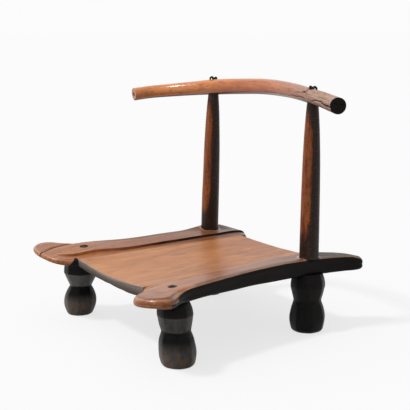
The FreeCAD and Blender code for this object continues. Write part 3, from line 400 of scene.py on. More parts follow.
def leg_piece(label, seed):
    axis_x, axis_y, lean, height, rub, diameters = LEG_AXES[label]
    cone_sheen, foot_sheen = FLOOR_SHEEN_SHARES[label]
    dice = np.random.default_rng(seed)
    shares = np.concatenate([np.linspace(0, 0.03, 8), np.linspace(0.045, WAIST_SHARE, 60),
                             np.linspace(WAIST_SHARE, BELT_SHARE, 34)[1:],
                             np.linspace(BELT_SHARE, 1.0, 24)[1:]])
    turns = np.linspace(0, 2 * math.pi, 144, endpoint=False)
    radius = bulb_radius(shares, diameters)[:, None] * np.ones(len(turns))
    # The arris of the foot is rubbed round where it stands on the floor.
    low = shares * height
    radius -= end_drop(low, rub)[:, None]
    # Flats of the blade: a few uneven sides, and the bulbs below and above the waist don't match.
    from_waist = shares - WAIST_SHARE
    pressed = FLAT_DEPTH * swell(np.abs(from_waist), 0.0, 0.05) * (1 - 0.5 * swell(0.12 - shares, 0, 0.12))
    for part in (-1, 1):
        depth = pressed * np.clip(part * from_waist * 400, 0, 1)
        radius *= 1 - depth[:, None] * (1 - blade_flats(turns, dice)[None, :])
    way = np.stack([np.cos(turns), np.sin(turns), np.zeros_like(turns)], axis=-1)
    rings = way[None] * radius[..., None]
    rings[..., 2] += low[:, None]
    rings[..., 0] += (axis_x + lean * (1 - shares))[:, None]
    rings[..., 1] += axis_y
    dent = 0.45 + 0.45 * hand_waves(rings, 34.0, seed + 7)
    rings[..., :2] -= way[None, :, :2] * dent[..., None] * swell(low, 0.0, 6.0)[:, None, None]
    grain = rings[..., [2, 0, 1]]
    # Painted shade darkens the waist and the top under the rail, wear pales the arrises, and a painted
    # reflection of the floor greys the cone and the lower bulb.
    crease = np.exp(-(np.abs(from_waist) / 0.012))
    arris = np.exp(-(np.abs(shares - BELT_SHARE) / 0.02)) + np.exp(-shares / 0.02)
    cone = swell(from_waist, 0.005, 0.03) * (1 - swell(shares, BELT_SHARE - 0.01, BELT_SHARE))
    low_half = swell(shares, 0.0, 0.02) * (1 - swell(shares, 0.2, 0.46))
    marks = {"soot_and_shade": crease + 0.8 * swell(shares, 0.9, 1.0), "worn_and_painted_light": arris * min(cone_sheen, 1.0),
             "level": shares, "painted_sheen": cone * cone_sheen + low_half * foot_sheen}
    marks = {name: values[:, None] for name, values in marks.items()}
    piece = ring_piece(label + "_carved", rings, grain, marks, sharp=16.0)
    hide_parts(label)
    return piece


legs = [leg_piece(label, 11 + number) for number, label in enumerate(LEG_AXES)]

# %% [markdown]
# ## Posts
#
# The posts are shaved sticks: thick and straight at the foot, then a long even taper, and a quick thin
# neck that goes up into the branch. A spokeshave leaves long narrow facets along such a stick, so the
# rings are rounds with a few long flats that wander slowly with height.

# %% Post rings
POST_FEET = {"left": (169.8, 166.6), "right": (-177.3, 159.2)}
POST_TOPS = {"left": (172.7, 166.3), "right": (-172.7, 166.3)}
POST_FOOT_LEVEL = LEG_LEVEL + 28.0
POST_HEIGHT = 313.0
NECK_DIAMETER, FOOT_DIAMETER = 23.0, 39.5
POST_HEIGHT_SHARES = (0.0, 0.2, 0.42, 0.66, 0.82, 0.91, 1.0)
POST_SWELL_SHARES = (1.0, 1.0, 0.9, 0.72, 0.5, 0.28, 0.0)
DARK_SIDE_TURN = math.radians(50.0)


def post_piece(side_name, seed):
    shares = np.concatenate([np.linspace(0, 0.02, 6), np.linspace(0.03, 1.0, 150)])
    turns = np.linspace(0, 2 * math.pi, 96, endpoint=False)
    swelling = smooth_curve(POST_HEIGHT_SHARES, POST_SWELL_SHARES, shares)
    radius = (NECK_DIAMETER + (FOOT_DIAMETER - NECK_DIAMETER) * swelling) / 2
    foot, top = np.array(POST_FEET[side_name]), np.array(POST_TOPS[side_name])
    way = np.stack([np.cos(turns), np.sin(turns), np.zeros_like(turns)], axis=-1)
    rings = way[None] * radius[:, None, None]
    rings[..., 2] += (POST_FOOT_LEVEL + POST_HEIGHT * shares)[:, None]
    rings[..., :2] += (foot + (top - foot) * shares[:, None])[:, None, :]
    sides = 14
    drift = 0.25 * np.sin(shares * 5 + seed)[:, None]
    part = (turns[None] + drift) % (2 * math.pi / sides) - math.pi / sides
    flat = (1 - math.cos(math.pi / sides) / np.cos(part)) * radius[:, None] * 0.55
    stretched = rings * np.array([1.0, 1.0, 0.14])
    dent = 0.22 + 0.22 * hand_waves(stretched, 16.0, seed) + flat
    rings[..., :2] -= way[None, :, :2] * dent[..., None]
    grain = rings[..., [2, 0, 1]]
    # Hands and smoke blacken the top and the foot, and painted shade darkens the side away from the window.
    away_side = 0.5 - 0.5 * np.cos(turns - DARK_SIDE_TURN)
    dark_side = swell(1 - away_side, 0.28, 0.78)[None]
    ends = 0.75 * swell(shares, 0.78, 1.0)[:, None] + 0.8 * (1 - swell(shares, 0.04, 0.34))[:, None]
    marks = {"soot_and_shade": np.clip(dark_side + ends, 0, 1)}
    piece = ring_piece("back_post_%s_shaved" % side_name, rings, grain, marks, sharp=50.0)
    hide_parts("back_post_" + side_name)
    return piece


posts = [post_piece(side_name, 31 + number) for number, side_name in enumerate(POST_FEET)]

# %% [markdown]
# ## Back rail
#
# The back rail is a naturally bent branch, peeled and polished, and cut off square at both ends. Rings
# square to its own curve follow it from the sitter's right to the left. The real one isn't quite round:
# it has shallow dents, a dark pith in one end, a burnt face on the other, and splits where the left pin
# was driven through. The splits are pressed into the rings as grooves that also mark themselves as dark.

# %% Branch line
BRANCH_HALF_SPAN, BRANCH_Y, BRANCH_LEVEL = 172.7, 166.3, 483.0
BRANCH_BOW, BRANCH_SAG, BRANCH_THICKNESS = 160.0, 27.0, 34.5
# Each knot: its shares of the half span, the bow, the sag and the thickness.
BRANCH_SHARES = (
    (-1.731, -0.833, 0.981, 0.826), (-1.685, -0.583, 0.815, 0.826), (-1.529, -0.364, 0.667, 0.855),
    (-1.285, -0.158, 0.481, 0.913), (-1.0, 0.0, 0.296, 1.0), (-0.521, 0.129, 0.111, 0.986),
    (0.0, 0.164, 0.0, 0.957), (0.521, 0.109, 0.111, 0.899), (1.0, 0.0, 0.333, 0.855),
    (1.245, -0.077, 0.426, 0.87), (1.477, -0.171, 0.533, 0.884), (1.737, -0.283, 0.63, 0.913),
)
branch_table = np.array(BRANCH_SHARES)
branch_knots = np.stack([BRANCH_HALF_SPAN * branch_table[:, 0], BRANCH_Y + BRANCH_BOW * branch_table[:, 1],
                         BRANCH_LEVEL - BRANCH_SAG * branch_table[:, 2]], axis=-1)
knot_gaps = np.linalg.norm(np.diff(branch_knots, axis=0), axis=1)
knot_lengths = np.concatenate([[0.0], np.cumsum(knot_gaps)])
branch_length = knot_lengths[-1]
print("branch is", round(branch_length), "mm long")

# %% Bark of the branch
BRANCH_POINTS = 120
END_RUB, BARK_RADIUS = 1.6, 17.0
BRANCH_TURNS = np.linspace(0, 2 * math.pi, BRANCH_POINTS, endpoint=False)
# Each split: its path on the unrolled bark, its depth and its half width.
SPLITS = (
    (((526.0, 8.4), (532.0, 9.6), (537.0, 10.7), (535.5, 17.9), (531.0, 25.5)), 2.4, 2.0),
    (((482.5, -6.0), (499.2, -7.2), (518.1, -4.1), (535.5, -6.0)), 1.5, 1.3),
    (((503.0, 4.0), (516.0, 5.6), (528.0, 8.9)), 0.9, 0.6),
    (((572.6, -7.2), (590.8, -1.7), (610.0, -0.4), (626.4, 1.7)), 1.6, 1.4),
    (((604.0, 7.6), (634.0, 8.8), (668.0, 7.9)), 0.8, 0.6),
    (((626.4, -2.2), (645.0, -4.6), (664.0, -3.4), (676.0, -4.5)), 3.2, 2.6),
)


def round_branch(values):
    # One value for each station, repeated round its ring.
    return np.repeat(values[:, None], BRANCH_POINTS, axis=1)


def bark():
    # The way that the branch runs at each station, and the rings, the grain and the marks of its bark.
    along = np.concatenate([np.linspace(0, 3, 6), np.linspace(4, branch_length - 4, 330),
                            np.linspace(branch_length - 3, branch_length, 6)])
    centre = np.stack([smooth_curve(knot_lengths, knots, along) for knots in branch_knots.T], axis=-1)
    radius = BRANCH_THICKNESS / 2 * smooth_curve(knot_lengths, branch_table[:, 3], along)
    way = np.gradient(centre, along, axis=0)
    way /= np.linalg.norm(way, axis=1, keepdims=True)
    level = np.stack([-way[:, 1], way[:, 0], np.zeros(len(way))], axis=-1)
    level /= np.linalg.norm(level, axis=1, keepdims=True)
    rise = np.cross(way, level)
    cosines, sines = np.cos(BRANCH_TURNS), np.sin(BRANCH_TURNS)
    out = level[:, None] * cosines[None, :, None] - rise[:, None] * sines[None, :, None]
    section = [radius[:, None] * cosines, radius[:, None] * sines]
    dent = 0.15 + 0.15 * hand_waves(np.stack([round_branch(along) * 0.16, *section], axis=-1), 22.0, 51)
    dent += end_drop(np.minimum(along, branch_length - along), END_RUB)[:, None]
    # Splits, drawn on the unrolled bark: along the branch and up from its front side.
    unrolled = np.repeat((BRANCH_TURNS - math.pi)[None] * BARK_RADIUS, len(along), axis=0)
    soot_and_shade = round_branch(0.85 * swell(along, branch_length - 7.0, branch_length - 1.0))
    for path, depth, half_width in SPLITS:
        line = crack_mark((path,), round_branch(along), unrolled, half_width)
        dent += depth * line
        soot_and_shade = np.maximum(soot_and_shade, line)
    places = centre[:, None] + out * (radius[:, None] - dent)[..., None]
    grain = np.stack([round_branch(along), *section], axis=-1)
    # Soot marks the splits and the burnt end, the underside is darkened with painted shade, level marks the
    # dusty end, and strip brightens the end at the sitter's right with a painted highlight.
    marks = {"soot_and_shade": soot_and_shade, "worn_and_painted_light": np.repeat(swell(sines, 0.62, 0.97)[None], len(along), axis=0),
             "level": round_branch(swell(along, 0.55 * branch_length, 0.86 * branch_length)),
             "strip": round_branch(1 - swell(along, 90.0, 330.0))}
    return way, places, grain, marks


print("splits in the branch:", len(SPLITS))

# %% Sawn ends of the branch
END_SHARES = np.linspace(0.04, 0.97, 26)
PITH_DARK = np.exp(-(END_SHARES / 0.34) ** 4)
PITH_HOLE, CRACK_DROP, FACE_DISH = 3.0, 2.2, 0.8


def branch_piece():
    # The ends are rings too, running in to the pith, which has shrunk to a hole in one and to cracks in
    # the other.
    way, places, grain, marks = bark()
    shares, inner = END_SHARES[:, None], END_SHARES[:, None, None]
    start_rings, stop_rings = (ring.mean(axis=0) + (ring - ring.mean(axis=0)) * inner
                               for ring in (places[0], places[-1]))
    cracks = hump(shares, 0.35, 0.4) * hump(np.sin(1.5 * BRANCH_TURNS + 0.6), 0.0, 0.09)[None]
    start_rings += way[0] * (PITH_HOLE * PITH_DARK)[:, None, None]
    stop_rings -= way[-1] * (CRACK_DROP * cracks + FACE_DISH * (1 - shares))[..., None]
    places = np.concatenate([start_rings, places, stop_rings[::-1]])
    grain = np.concatenate([grain[:1] * inner, grain, (grain[-1:] * inner)[::-1]])
    year_rings = 0.3 * (0.5 + 0.5 * np.sin(shares * 44.0)) * (shares < 0.95)
    one = np.ones((len(END_SHARES), BRANCH_POINTS))
    end_marks = {"soot_and_shade": (PITH_DARK[:, None] + year_rings, 1.0), "worn_and_painted_light": (0.35, 0.0), "level": (0.2, 1.0),
                 "strip": (0.0, 0.0)}
    for name, (start, stop) in end_marks.items():
        marks[name] = np.clip(np.concatenate([start * one, marks[name], stop * one]), 0, 1)
    piece = ring_piece("back_rail_branch", places, grain, marks, sharp=60.0)
    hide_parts("back_rail")
    return piece


branch = branch_piece()

# %% [markdown]
# ## Pins
#
# Each pin is one iron rod, doubled like a hairpin. Its bend goes down through the branch into the post,
# and its two ends are spread and curled over so that they grip the wood, one in an open arch and one
# rolled up tight. A smith would do the same with a hammer and the horn of an anvil. The rod is drawn as
# one path from end to end, with a slightly flattened section that gets thinner at the tips.

# %% Pins
OPEN_ARCH = ((7.6, -3.2), (8.2, -0.6), (7.2, 3.0), (4.6, 5.0), (2.2, 4.0), (1.4, 1.0))
TIGHT_CURL = ((4.4, 1.6), (3.6, 3.0), (4.8, 4.2), (6.6, 3.0), (6.6, 0.4), (4.6, -0.8), (2.4, 0.4), (1.8, 2.6),
              (1.3, 0.0))
# One half of the hairpin below the wood: its distance from the middle and its level.
PIN_DEPTH = 34.0
HAIRPIN = [(1.3, -PIN_DEPTH * 0.3), (1.2, -PIN_DEPTH * 0.7), (0.7, -PIN_DEPTH + 0.4), (0.0, -PIN_DEPTH)]
PATH_COUNT = 420
# Each pin: its place and the level of the wood there, the side of its arch, and its tilt.
PINS = {
    "left": ((172.7, 166.3, 488.6), -1.0, 0.22),
    "right": ((-172.7, 166.3, 492.2), 1.0, 0.0),
}


def pin_piece(side_name):
    (centre_x, centre_y, wood_level), arch_side, tilt = PINS[side_name]
    tight = [(-across, rise) for across, rise in TIGHT_CURL]
    other_half = [(-across, level) for across, level in HAIRPIN[-2::-1]]
    path = natural_curve([*OPEN_ARCH, *HAIRPIN, *other_half, *tight[::-1]], PATH_COUNT)
    path[:, 0] *= -arch_side
    path[:, 1] -= tilt * path[:, 0] * (path[:, 1] > -4.0)
    run = np.gradient(path, axis=0)
    run /= np.linalg.norm(run, axis=1, keepdims=True)
    turns = np.linspace(0, 2 * math.pi, 20, endpoint=False)
    reach = np.hypot(*path.T)
    above = swell(path[:, 1], -6.0, 0.0)
    steps = np.arange(PATH_COUNT)
    from_tip = np.minimum(steps, PATH_COUNT - 1 - steps) / PATH_COUNT
    thick = (1.15 + 1.05 * above) * (0.6 + 0.4 * swell(from_tip, 0.0, 0.06))
    beaten = 1 + 0.07 * hand_waves(np.stack([path[:, 0], path[:, 1], reach], axis=-1), 7.0, 61)
    thick = (thick * beaten)[:, None]
    across = path[:, :1] - run[:, 1:] * thick * np.cos(turns)
    rise = path[:, 1:] + run[:, :1] * thick * np.cos(turns)
    side = 0.85 * thick * np.sin(turns)
    # The arch and the curl lie almost square to the branch.
    rings = np.stack([centre_x + 0.2 * across + 0.98 * side, centre_y + 0.98 * across - 0.2 * side,
                      wood_level + rise], axis=-1)
    piece = ring_piece("iron_pin_%s_rod" % side_name, rings, rings, {}, sharp=50.0)
    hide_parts("iron_pin_" + side_name)
    return piece


pins = [pin_piece(side_name) for side_name in PINS]

# %% [markdown]
# ## Side rails
#
# A side rail is a thick plank. In front it widens into a paddle with a rounded nose, behind it ends in a
# rounded tail, and a border line is carved along its top with a lower ledge beside the seat. The plan of
# the plank is a smooth curve through a few measured places. Upright rings then cut that plan from the
# nose to the tail. Their points are close together at the rounded edges, at the border line and round
# the nail, where the light shows the form, and further apart on the plain parts.

# %% Rail tables
LINES = {
    "left": {"leg": (190.8, -169.4), "post": (169.8, 166.6), "overhang": 126.0, "lift": 1.0},
    "right": {"leg": (184.9, -157.9), "post": (177.3, 159.2), "overhang": 80.0, "lift": 5.0},
}
FRONT_OVERHANG, PADDLE_REACH, WAIST_REACH = 93.0, 90.0, 18.0
RAIL_DEPTH, BORDER_WIDTH, BORDER_STEP = 28.0, 40.0, 4.0
PANEL_REAR, PANEL_FRONT_HALF, PANEL_REAR_HALF = 200.0, 132.0, 110.0
PANEL_FRONT_LEVEL, PANEL_REAR_LEVEL, PANEL_THICKNESS = 135.5, 143.5, 15.5
RAIL_HEIGHT_SHARES = (
    ("nose", 1.2, 0.43, 0.95, -0.04, 0.65), ("nose", 0.75, 0.39, 1.03, -0.31, 0.55),
    ("nose", 0.34, 0.4, 1.08, -0.2, 0.15), ("middle", 0.08, 0.59, 1.14, -0.08, 0.04),
    ("middle", 0.26, 0.57, 1.3, 0.04, 0.11), ("middle", 0.44, 0.66, 1.4, 0.1, 0.14),
    ("middle", 0.62, 0.76, 1.48, 0.09, 0.12), ("middle", 0.8, 0.92, 1.33, 0.02, 0.04),
    ("middle", 0.99, 0.98, 1.14, -0.1, -0.07), ("tail", 0.37, 1.0, 0.98, -0.12, -0.11),
    ("tail", 0.76, 0.9, 0.86, -0.15, -0.14), ("tail", 1.15, 0.6, 0.55, -0.15, -0.14),
)
BORDER_SHARES = (
    ("nose", 1.2, 0.2, -1.5), ("nose", 0.7, 0.4, 0.0), ("nose", 0.34, 0.64, 1.0),
    ("middle", 0.08, 0.87, 1.0), ("middle", 0.26, 0.96, 1.0), ("middle", 0.44, 0.99, 1.0),
    ("middle", 0.62, 1.04, 1.0), ("middle", 0.8, 1.13, 1.0), ("middle", 0.99, 1.06, 1.0),
    ("tail", 0.47, 0.9, 1.0), ("tail", 1.2, 0.7, 1.0),
)
NOSE_PLAN_SHARES = {
    "left": ((-0.33, 0.49), (-0.21, 0.67), (-0.02, 0.86), (0.24, 0.97), (0.5, 0.95), (0.71, 0.83),
             (0.83, 0.64), (0.8, 0.44), (0.66, 0.27)),
    "right": ((-0.54, 0.62), (-0.46, 0.77), (-0.28, 0.93), (0.05, 1.03), (0.43, 1.03), (0.76, 0.9),
              (0.91, 0.7), (0.91, 0.52), (0.8, 0.36)),
}
OUTER_EDGE_SHARES = (("nose", 0.0, 2.25), ("middle", 0.08, 1.87), ("middle", 0.26, 1.4),
                     ("middle", 0.44, 1.0), ("middle", 0.62, 0.88))
REAR_EDGE_SHARES = {"left": (("middle", 0.8, 0.75), ("middle", 0.99, 0.87)),
                    "right": (("middle", 0.8, 0.95), ("middle", 0.99, 1.35))}
TAIL_PLAN_SHARES = {
    "left": ((1.25, 0.45), (1.56, 0.66), (1.94, 0.84), (1.92, 0.96), (1.3, 0.985), (0.5, 0.94),
             (-0.33, 0.81), (-1.06, 0.65), (-1.8, 0.47), (-2.5, 0.36)),
    "right": ((1.5, 0.36), (1.35, 0.68), (0.95, 0.86), (0.2, 0.95), (-0.6, 0.98), (-1.4, 0.98),
              (-2.2, 0.92), (-2.9, 0.8), (-3.4, 0.66)),
}
print("rail tables:", len(RAIL_HEIGHT_SHARES), "height stations")

# %% Places along a rail
def rail_y(side_name, zone, share):
    leg_y, post_y = LINES[side_name]["leg"][1], LINES[side_name]["post"][1]
    if zone == "nose":
        return leg_y - FRONT_OVERHANG * share
    if zone == "middle":
        return leg_y + (post_y - leg_y) * share
    return post_y + LINES[side_name]["overhang"] * share


def line_x(side_name, y):
    (leg_x, leg_y), (post_x, post_y) = LINES[side_name]["leg"], LINES[side_name]["post"]
    return leg_x + (post_x - leg_x) * (y - leg_y) / (post_y - leg_y)


def panel_share(y):
    return (y + PANEL_FRONT) / (PANEL_REAR + PANEL_FRONT)


def panel_half(y):
    return PANEL_FRONT_HALF + (PANEL_REAR_HALF - PANEL_FRONT_HALF) * panel_share(y)


def panel_side_level(y):
    return PANEL_FRONT_LEVEL + (PANEL_REAR_LEVEL - PANEL_FRONT_LEVEL) * panel_share(y)


print("half width of the seat in front and behind:", panel_half(-PANEL_FRONT), panel_half(PANEL_REAR))

# %% Plan of a rail
# The plan is drawn a little into the seat, so that its curve runs straight through the joint.
PLAN_WASTE = 6.0


def rail_plan(side_name):
    leg_x, leg_y = LINES[side_name]["leg"]
    front_waste, rear_waste = -PANEL_FRONT + PLAN_WASTE * 4, PANEL_REAR - PLAN_WASTE * 4
    points = [(panel_half(front_waste) - PLAN_WASTE, front_waste), (PANEL_FRONT_HALF, -PANEL_FRONT)]
    points += [(leg_x + PADDLE_REACH * across, leg_y - FRONT_OVERHANG * ahead)
               for across, ahead in NOSE_PLAN_SHARES[side_name]]
    tail_edge = [("tail", share, reach) for reach, share in TAIL_PLAN_SHARES[side_name]]
    for zone, share, reach in [*OUTER_EDGE_SHARES, *REAR_EDGE_SHARES[side_name], *tail_edge]:
        y = rail_y(side_name, zone, share)
        points.append((line_x(side_name, y) + WAIST_REACH * reach, y))
    points += [(PANEL_REAR_HALF, PANEL_REAR), (panel_half(rear_waste) - PLAN_WASTE, rear_waste)]
    return natural_curve(points, 3000)


def plan_crossings(plan, y):
    # The inner and outer edge of the plan at one place along the rail.
    start, end = plan, np.roll(plan, -1, axis=0)
    cut = (start[:, 1] - y) * (end[:, 1] - y) <= 0
    cut &= start[:, 1] != end[:, 1]
    start, end = start[cut], end[cut]
    across = start[:, 0] + (end[:, 0] - start[:, 0]) * (y - start[:, 1]) / (end[:, 1] - start[:, 1])
    return across.min(), across.max()


plans = {side_name: rail_plan(side_name) for side_name in LINES}
for side_name, plan in plans.items():
    print(side_name, "rail from", plan[:, 1].min().round(1), "to", plan[:, 1].max().round(1))

# %% Rings of a rail
NAIL_SEAT_RADIUS, NAIL_SEAT_LEVEL = 7.8, 145.4
CRACKS = {
    "right": (((196.0, -254.0), (207.0, -234.0), (217.0, -210.0), (219.5, -192.0), (220.5, -172.0),
               (219.0, -150.0)),),
    "left": (),
}


def spaced(count, start_pull, end_pull):
    # Shares from nought to one that crowd together at the pulled ends.
    steps = np.linspace(0, 1, count)
    weights = 1.0 / (1.0 + start_pull * np.exp(-steps * 9) + end_pull * np.exp(-(1 - steps) * 9))
    shares = np.concatenate([[0.0], np.cumsum((weights[1:] + weights[:-1]) / 2)])
    return shares / shares[-1]


def from_outline(outline, x, y):
    # The distance from each place to the nearest stretch of the plank's outline.
    away = np.hypot(x[:, None] - outline[None, :, 0], y - outline[None, :, 1])
    nearest = np.clip(away.argmin(axis=1), 1, len(outline) - 2)
    place = np.stack([x, np.full_like(x, y)], axis=-1)
    best = away.min(axis=1)
    for first, second in ((nearest - 1, nearest), (nearest, nearest + 1)):
        run = outline[second] - outline[first]
        reach = ((place - outline[first]) * run).sum(axis=1) / (run * run).sum(axis=1)
        foot = outline[first] + np.clip(reach, 0, 1)[:, None] * run
        best = np.minimum(best, np.hypot(*(place - foot).T))
    return best


print("points crowd towards both ends:", spaced(7, 6.0, 6.0).round(2))

# %% Stations of a rail
TOP_COUNT, BORDER_COUNT, STEP_COUNT, LOW_COUNT, WALL_COUNT, JOINT_COUNT = 80, 46, 5, 30, 14, 8
LEDGE_COUNT = TOP_COUNT - BORDER_COUNT - STEP_COUNT
TOP_LIP, LOW_LIP = 8.0, 5.0
NOSE_TOP_LIP, NOSE_LOW_LIP = 14.0, 8.0
TAIL_LIP = 4.0
# The levels of a rail are measured at these two places across it and sloped between them.
SLOPE_INNER, SLOPE_OUTER_REACH = 98.0, 102.0
# How far the nose hangs below, and how far the top swells up beside the nail.
NOSE_SAG = {"left": 4.0, "right": 0.0}
NAIL_SWELL = {"left": 0.0, "right": 3.4}
# How far the left rail hangs down between its legs, and how far the right one rises behind its post.
BELLY = {"left": 5.0, "right": 0.0}
TAIL_RISE = {"left": 0.0, "right": 7.0}


def rail_stations(side_name, front_tip, rear_tip):
    # The stations stand closest at the two tips and beside the nail.
    leg_y = LINES[side_name]["leg"][1]
    tip = np.linspace(0.02, math.pi / 2, 34)
    return np.concatenate([
        front_tip + 30 * (1 - np.cos(tip)), np.arange(front_tip + 31.4, leg_y - 12, 1.5),
        np.arange(leg_y - 12, leg_y + 12, 0.7), np.arange(leg_y + 12, rear_tip - 31, 2.2),
        rear_tip - 30 * (1 - np.cos(tip))[::-1]])


print("a rail's nose is", round(FRONT_OVERHANG), "mm long")

# %% Curves along a rail
def rail_curves(side_name, stations, rear_tip):
    # What changes along a rail: its levels, its border line, its lips, and how far it is lifted.
    leg_y, post_y = LINES[side_name]["leg"][1], LINES[side_name]["post"][1]
    places = [rail_y(side_name, zone, share) for zone, share, *_ in RAIL_HEIGHT_SHARES]
    curves = {}
    for column, name in enumerate(("inner_top", "outer_top", "inner_low", "outer_low"), 2):
        shares = [row[column] for row in RAIL_HEIGHT_SHARES]
        curves[name] = LEG_LEVEL + RAIL_DEPTH * smooth_curve(places, shares, stations)
    raised = NAIL_SWELL[side_name] * hump(stations, leg_y + 12.0, 62.0)
    curves["inner_top"] += raised * 0.8
    curves["outer_top"] += raised
    places = [rail_y(side_name, zone, share) for zone, share, *_ in BORDER_SHARES]
    for column, name in ((2, "inside"), (3, "drop")):
        curves[name] = smooth_curve(places, [row[column] for row in BORDER_SHARES], stations)
    nose_part = 1 - swell(stations, leg_y - 20.0, leg_y + 25.0)
    tail_part = swell(stations, rear_tip - 30.0, rear_tip - 4.0)
    curves["top_lip"] = TOP_LIP + (NOSE_TOP_LIP - TOP_LIP) * nose_part + TAIL_LIP * tail_part
    curves["low_lip"] = LOW_LIP + (NOSE_LOW_LIP - LOW_LIP) * nose_part + TAIL_LIP * tail_part
    curves["low_lip_share"] = 0.3 + 0.1 * tail_part
    lift_start, lift_full = rail_y(side_name, "nose", 0.25), rail_y(side_name, "nose", 0.75)
    lift = LINES[side_name]["lift"] * np.clip((stations - lift_start) / (lift_full - lift_start), 0, 1)
    sag = NOSE_SAG[side_name] * (1 - swell(stations, leg_y - 62.0, leg_y - 32.0))
    belly = swell(stations, leg_y + 25.0, leg_y + 140.0) - 0.45 * swell(stations, leg_y + 230.0, post_y)
    curves["lift"] = lift - sag - BELLY[side_name] * belly
    rise = TAIL_RISE[side_name] * swell(stations, post_y - 75.0, post_y + 4.0)
    curves["rise"] = rise * (1 - swell(stations, post_y + 24.0, rear_tip - 4.0))
    return curves


print("curves along a rail ready")

# %% One ring of a rail
STEP_RUN = 0.7


def rail_ring(side_name, y, here, plan, outline):
    # Round the ring: the border and the ledge on top, the joint, the underside and the outer wall.
    (leg_x, leg_y), post_y = LINES[side_name]["leg"], LINES[side_name]["post"][1]
    inner_edge, outer = plan_crossings(plan, y)
    joined = inner_edge < panel_half(y) and -PANEL_FRONT < y < PANEL_REAR
    inner = panel_half(y) if joined else inner_edge
    width = outer - inner
    line = line_x(side_name, y) - BORDER_WIDTH * here.inside
    line = min(max(line, inner + 0.02 * width), outer - 0.3 * width)
    step = BORDER_STEP * here.drop

    def sloped(x, first, second):
        return first + (second - first) * (x - SLOPE_INNER) / (leg_x + SLOPE_OUTER_REACH - SLOPE_INNER)

    step_run = min(STEP_RUN, 0.1 * width)
    step_shares = np.linspace(0, 1, STEP_COUNT + 2)[1:-1]
    border_x = outer - (outer - line) * spaced(BORDER_COUNT, 7.0, 1.0)
    ledge_x = line - step_run - (line - step_run - inner) * spaced(LEDGE_COUNT, 3.0, 5.0)
    x = np.concatenate([border_x, line - step_run * step_shares, ledge_x])
    low_x = inner + width * spaced(LOW_COUNT, 6.0, 6.0)
    edge, low_edge = from_outline(outline, x, y), from_outline(outline, low_x, y)
    thick, low_thick = (sloped(place, here.inner_top, here.outer_top)
                        - sloped(place, here.inner_low, here.outer_low) - here.lift for place in (x, low_x))
    crown = 1.8 * min(max((post_y - y) / (post_y - leg_y), 0), 1) * min(width / PADDLE_REACH, 1)
    top = sloped(x, here.inner_top, here.outer_top)
    top += here.rise * swell(x, line_x(side_name, y) - 14, line_x(side_name, y) + 12)
    top += crown * (1 - (2 * (x - inner) / width - 1) ** 2)
    floor = sloped(line, here.inner_top, here.outer_top) - step
    cut = floor + (panel_side_level(y) - floor) * (x - line) / (panel_half(y) - line) + max(-step, 0.0)
    cut -= 0.5 * hump(x, line - 1.4, 1.2) * min(max(here.drop, 0), 1)
    fallen = np.concatenate([np.zeros(BORDER_COUNT), step_shares, np.ones(LEDGE_COUNT)])
    top += (np.minimum(top, cut) - top) * fallen
    top -= end_drop(edge, np.minimum(here.top_lip, thick * 0.6))
    low = sloped(low_x, here.inner_low, here.outer_low) + here.lift
    low += end_drop(low_edge, np.minimum(here.low_lip, low_thick * here.low_lip_share))
    wall = np.linspace(low[-1], top[0], WALL_COUNT + 2)[1:-1]
    inner_wall = np.linspace(top[-1], low[0], JOINT_COUNT + 2)[1:-1]
    ring_x = np.concatenate([x, np.full(JOINT_COUNT, inner), low_x, np.full(WALL_COUNT, outer)])
    ring_z = np.concatenate([top, inner_wall, low, wall])
    return np.column_stack([ring_x, np.full(len(ring_x), y), ring_z]), line, edge


def rail_rings(side_name):
    # The rings, and for each the place of its border line, how full its step is and its outline's distance.
    plan = plans[side_name]
    in_joint = (plan[:, 0] < panel_half(plan[:, 1])) & (plan[:, 1] > -PANEL_FRONT) & (plan[:, 1] < PANEL_REAR)
    outline = plan[~in_joint]
    front_tip, rear_tip = plan[:, 1].min(), plan[:, 1].max()
    stations = rail_stations(side_name, front_tip, rear_tip)
    curves = rail_curves(side_name, stations, rear_tip)
    found = []
    for number, y in enumerate(stations):
        here = SimpleNamespace(**{name: values[number] for name, values in curves.items()})
        found.append(rail_ring(side_name, y, here, plan, outline))
    rings, lines, edges = (np.array(values) for values in zip(*found))
    return rings, lines[:, None], np.clip(curves["drop"], 0, 1)[:, None], edges


# Where the points of a ring lie.
RING_COUNT = TOP_COUNT + JOINT_COUNT + LOW_COUNT + WALL_COUNT
NUMBERS = np.arange(RING_COUNT)
ON_TOP = (NUMBERS < TOP_COUNT) * 1.0
UNDER = ((NUMBERS >= TOP_COUNT + JOINT_COUNT) & (NUMBERS < RING_COUNT - WALL_COUNT)) * 1.0
ON_WALL = (NUMBERS >= RING_COUNT - WALL_COUNT) * 1.0
WALL_SHARES = np.clip((NUMBERS - (RING_COUNT - WALL_COUNT) + 1) / (WALL_COUNT + 1), 0, 1) * ON_WALL
LOW_SHARES = np.clip((NUMBERS - TOP_COUNT - JOINT_COUNT) / LOW_COUNT, 0, 1)
ON_STEP = (NUMBERS >= BORDER_COUNT) & (NUMBERS < BORDER_COUNT + STEP_COUNT + 1)
print(RING_COUNT, "points in each ring")

# %% Hand-cut surface of a rail
CRACK_DEPTH, CRACK_HALF_WIDTH = 3.0, 1.7


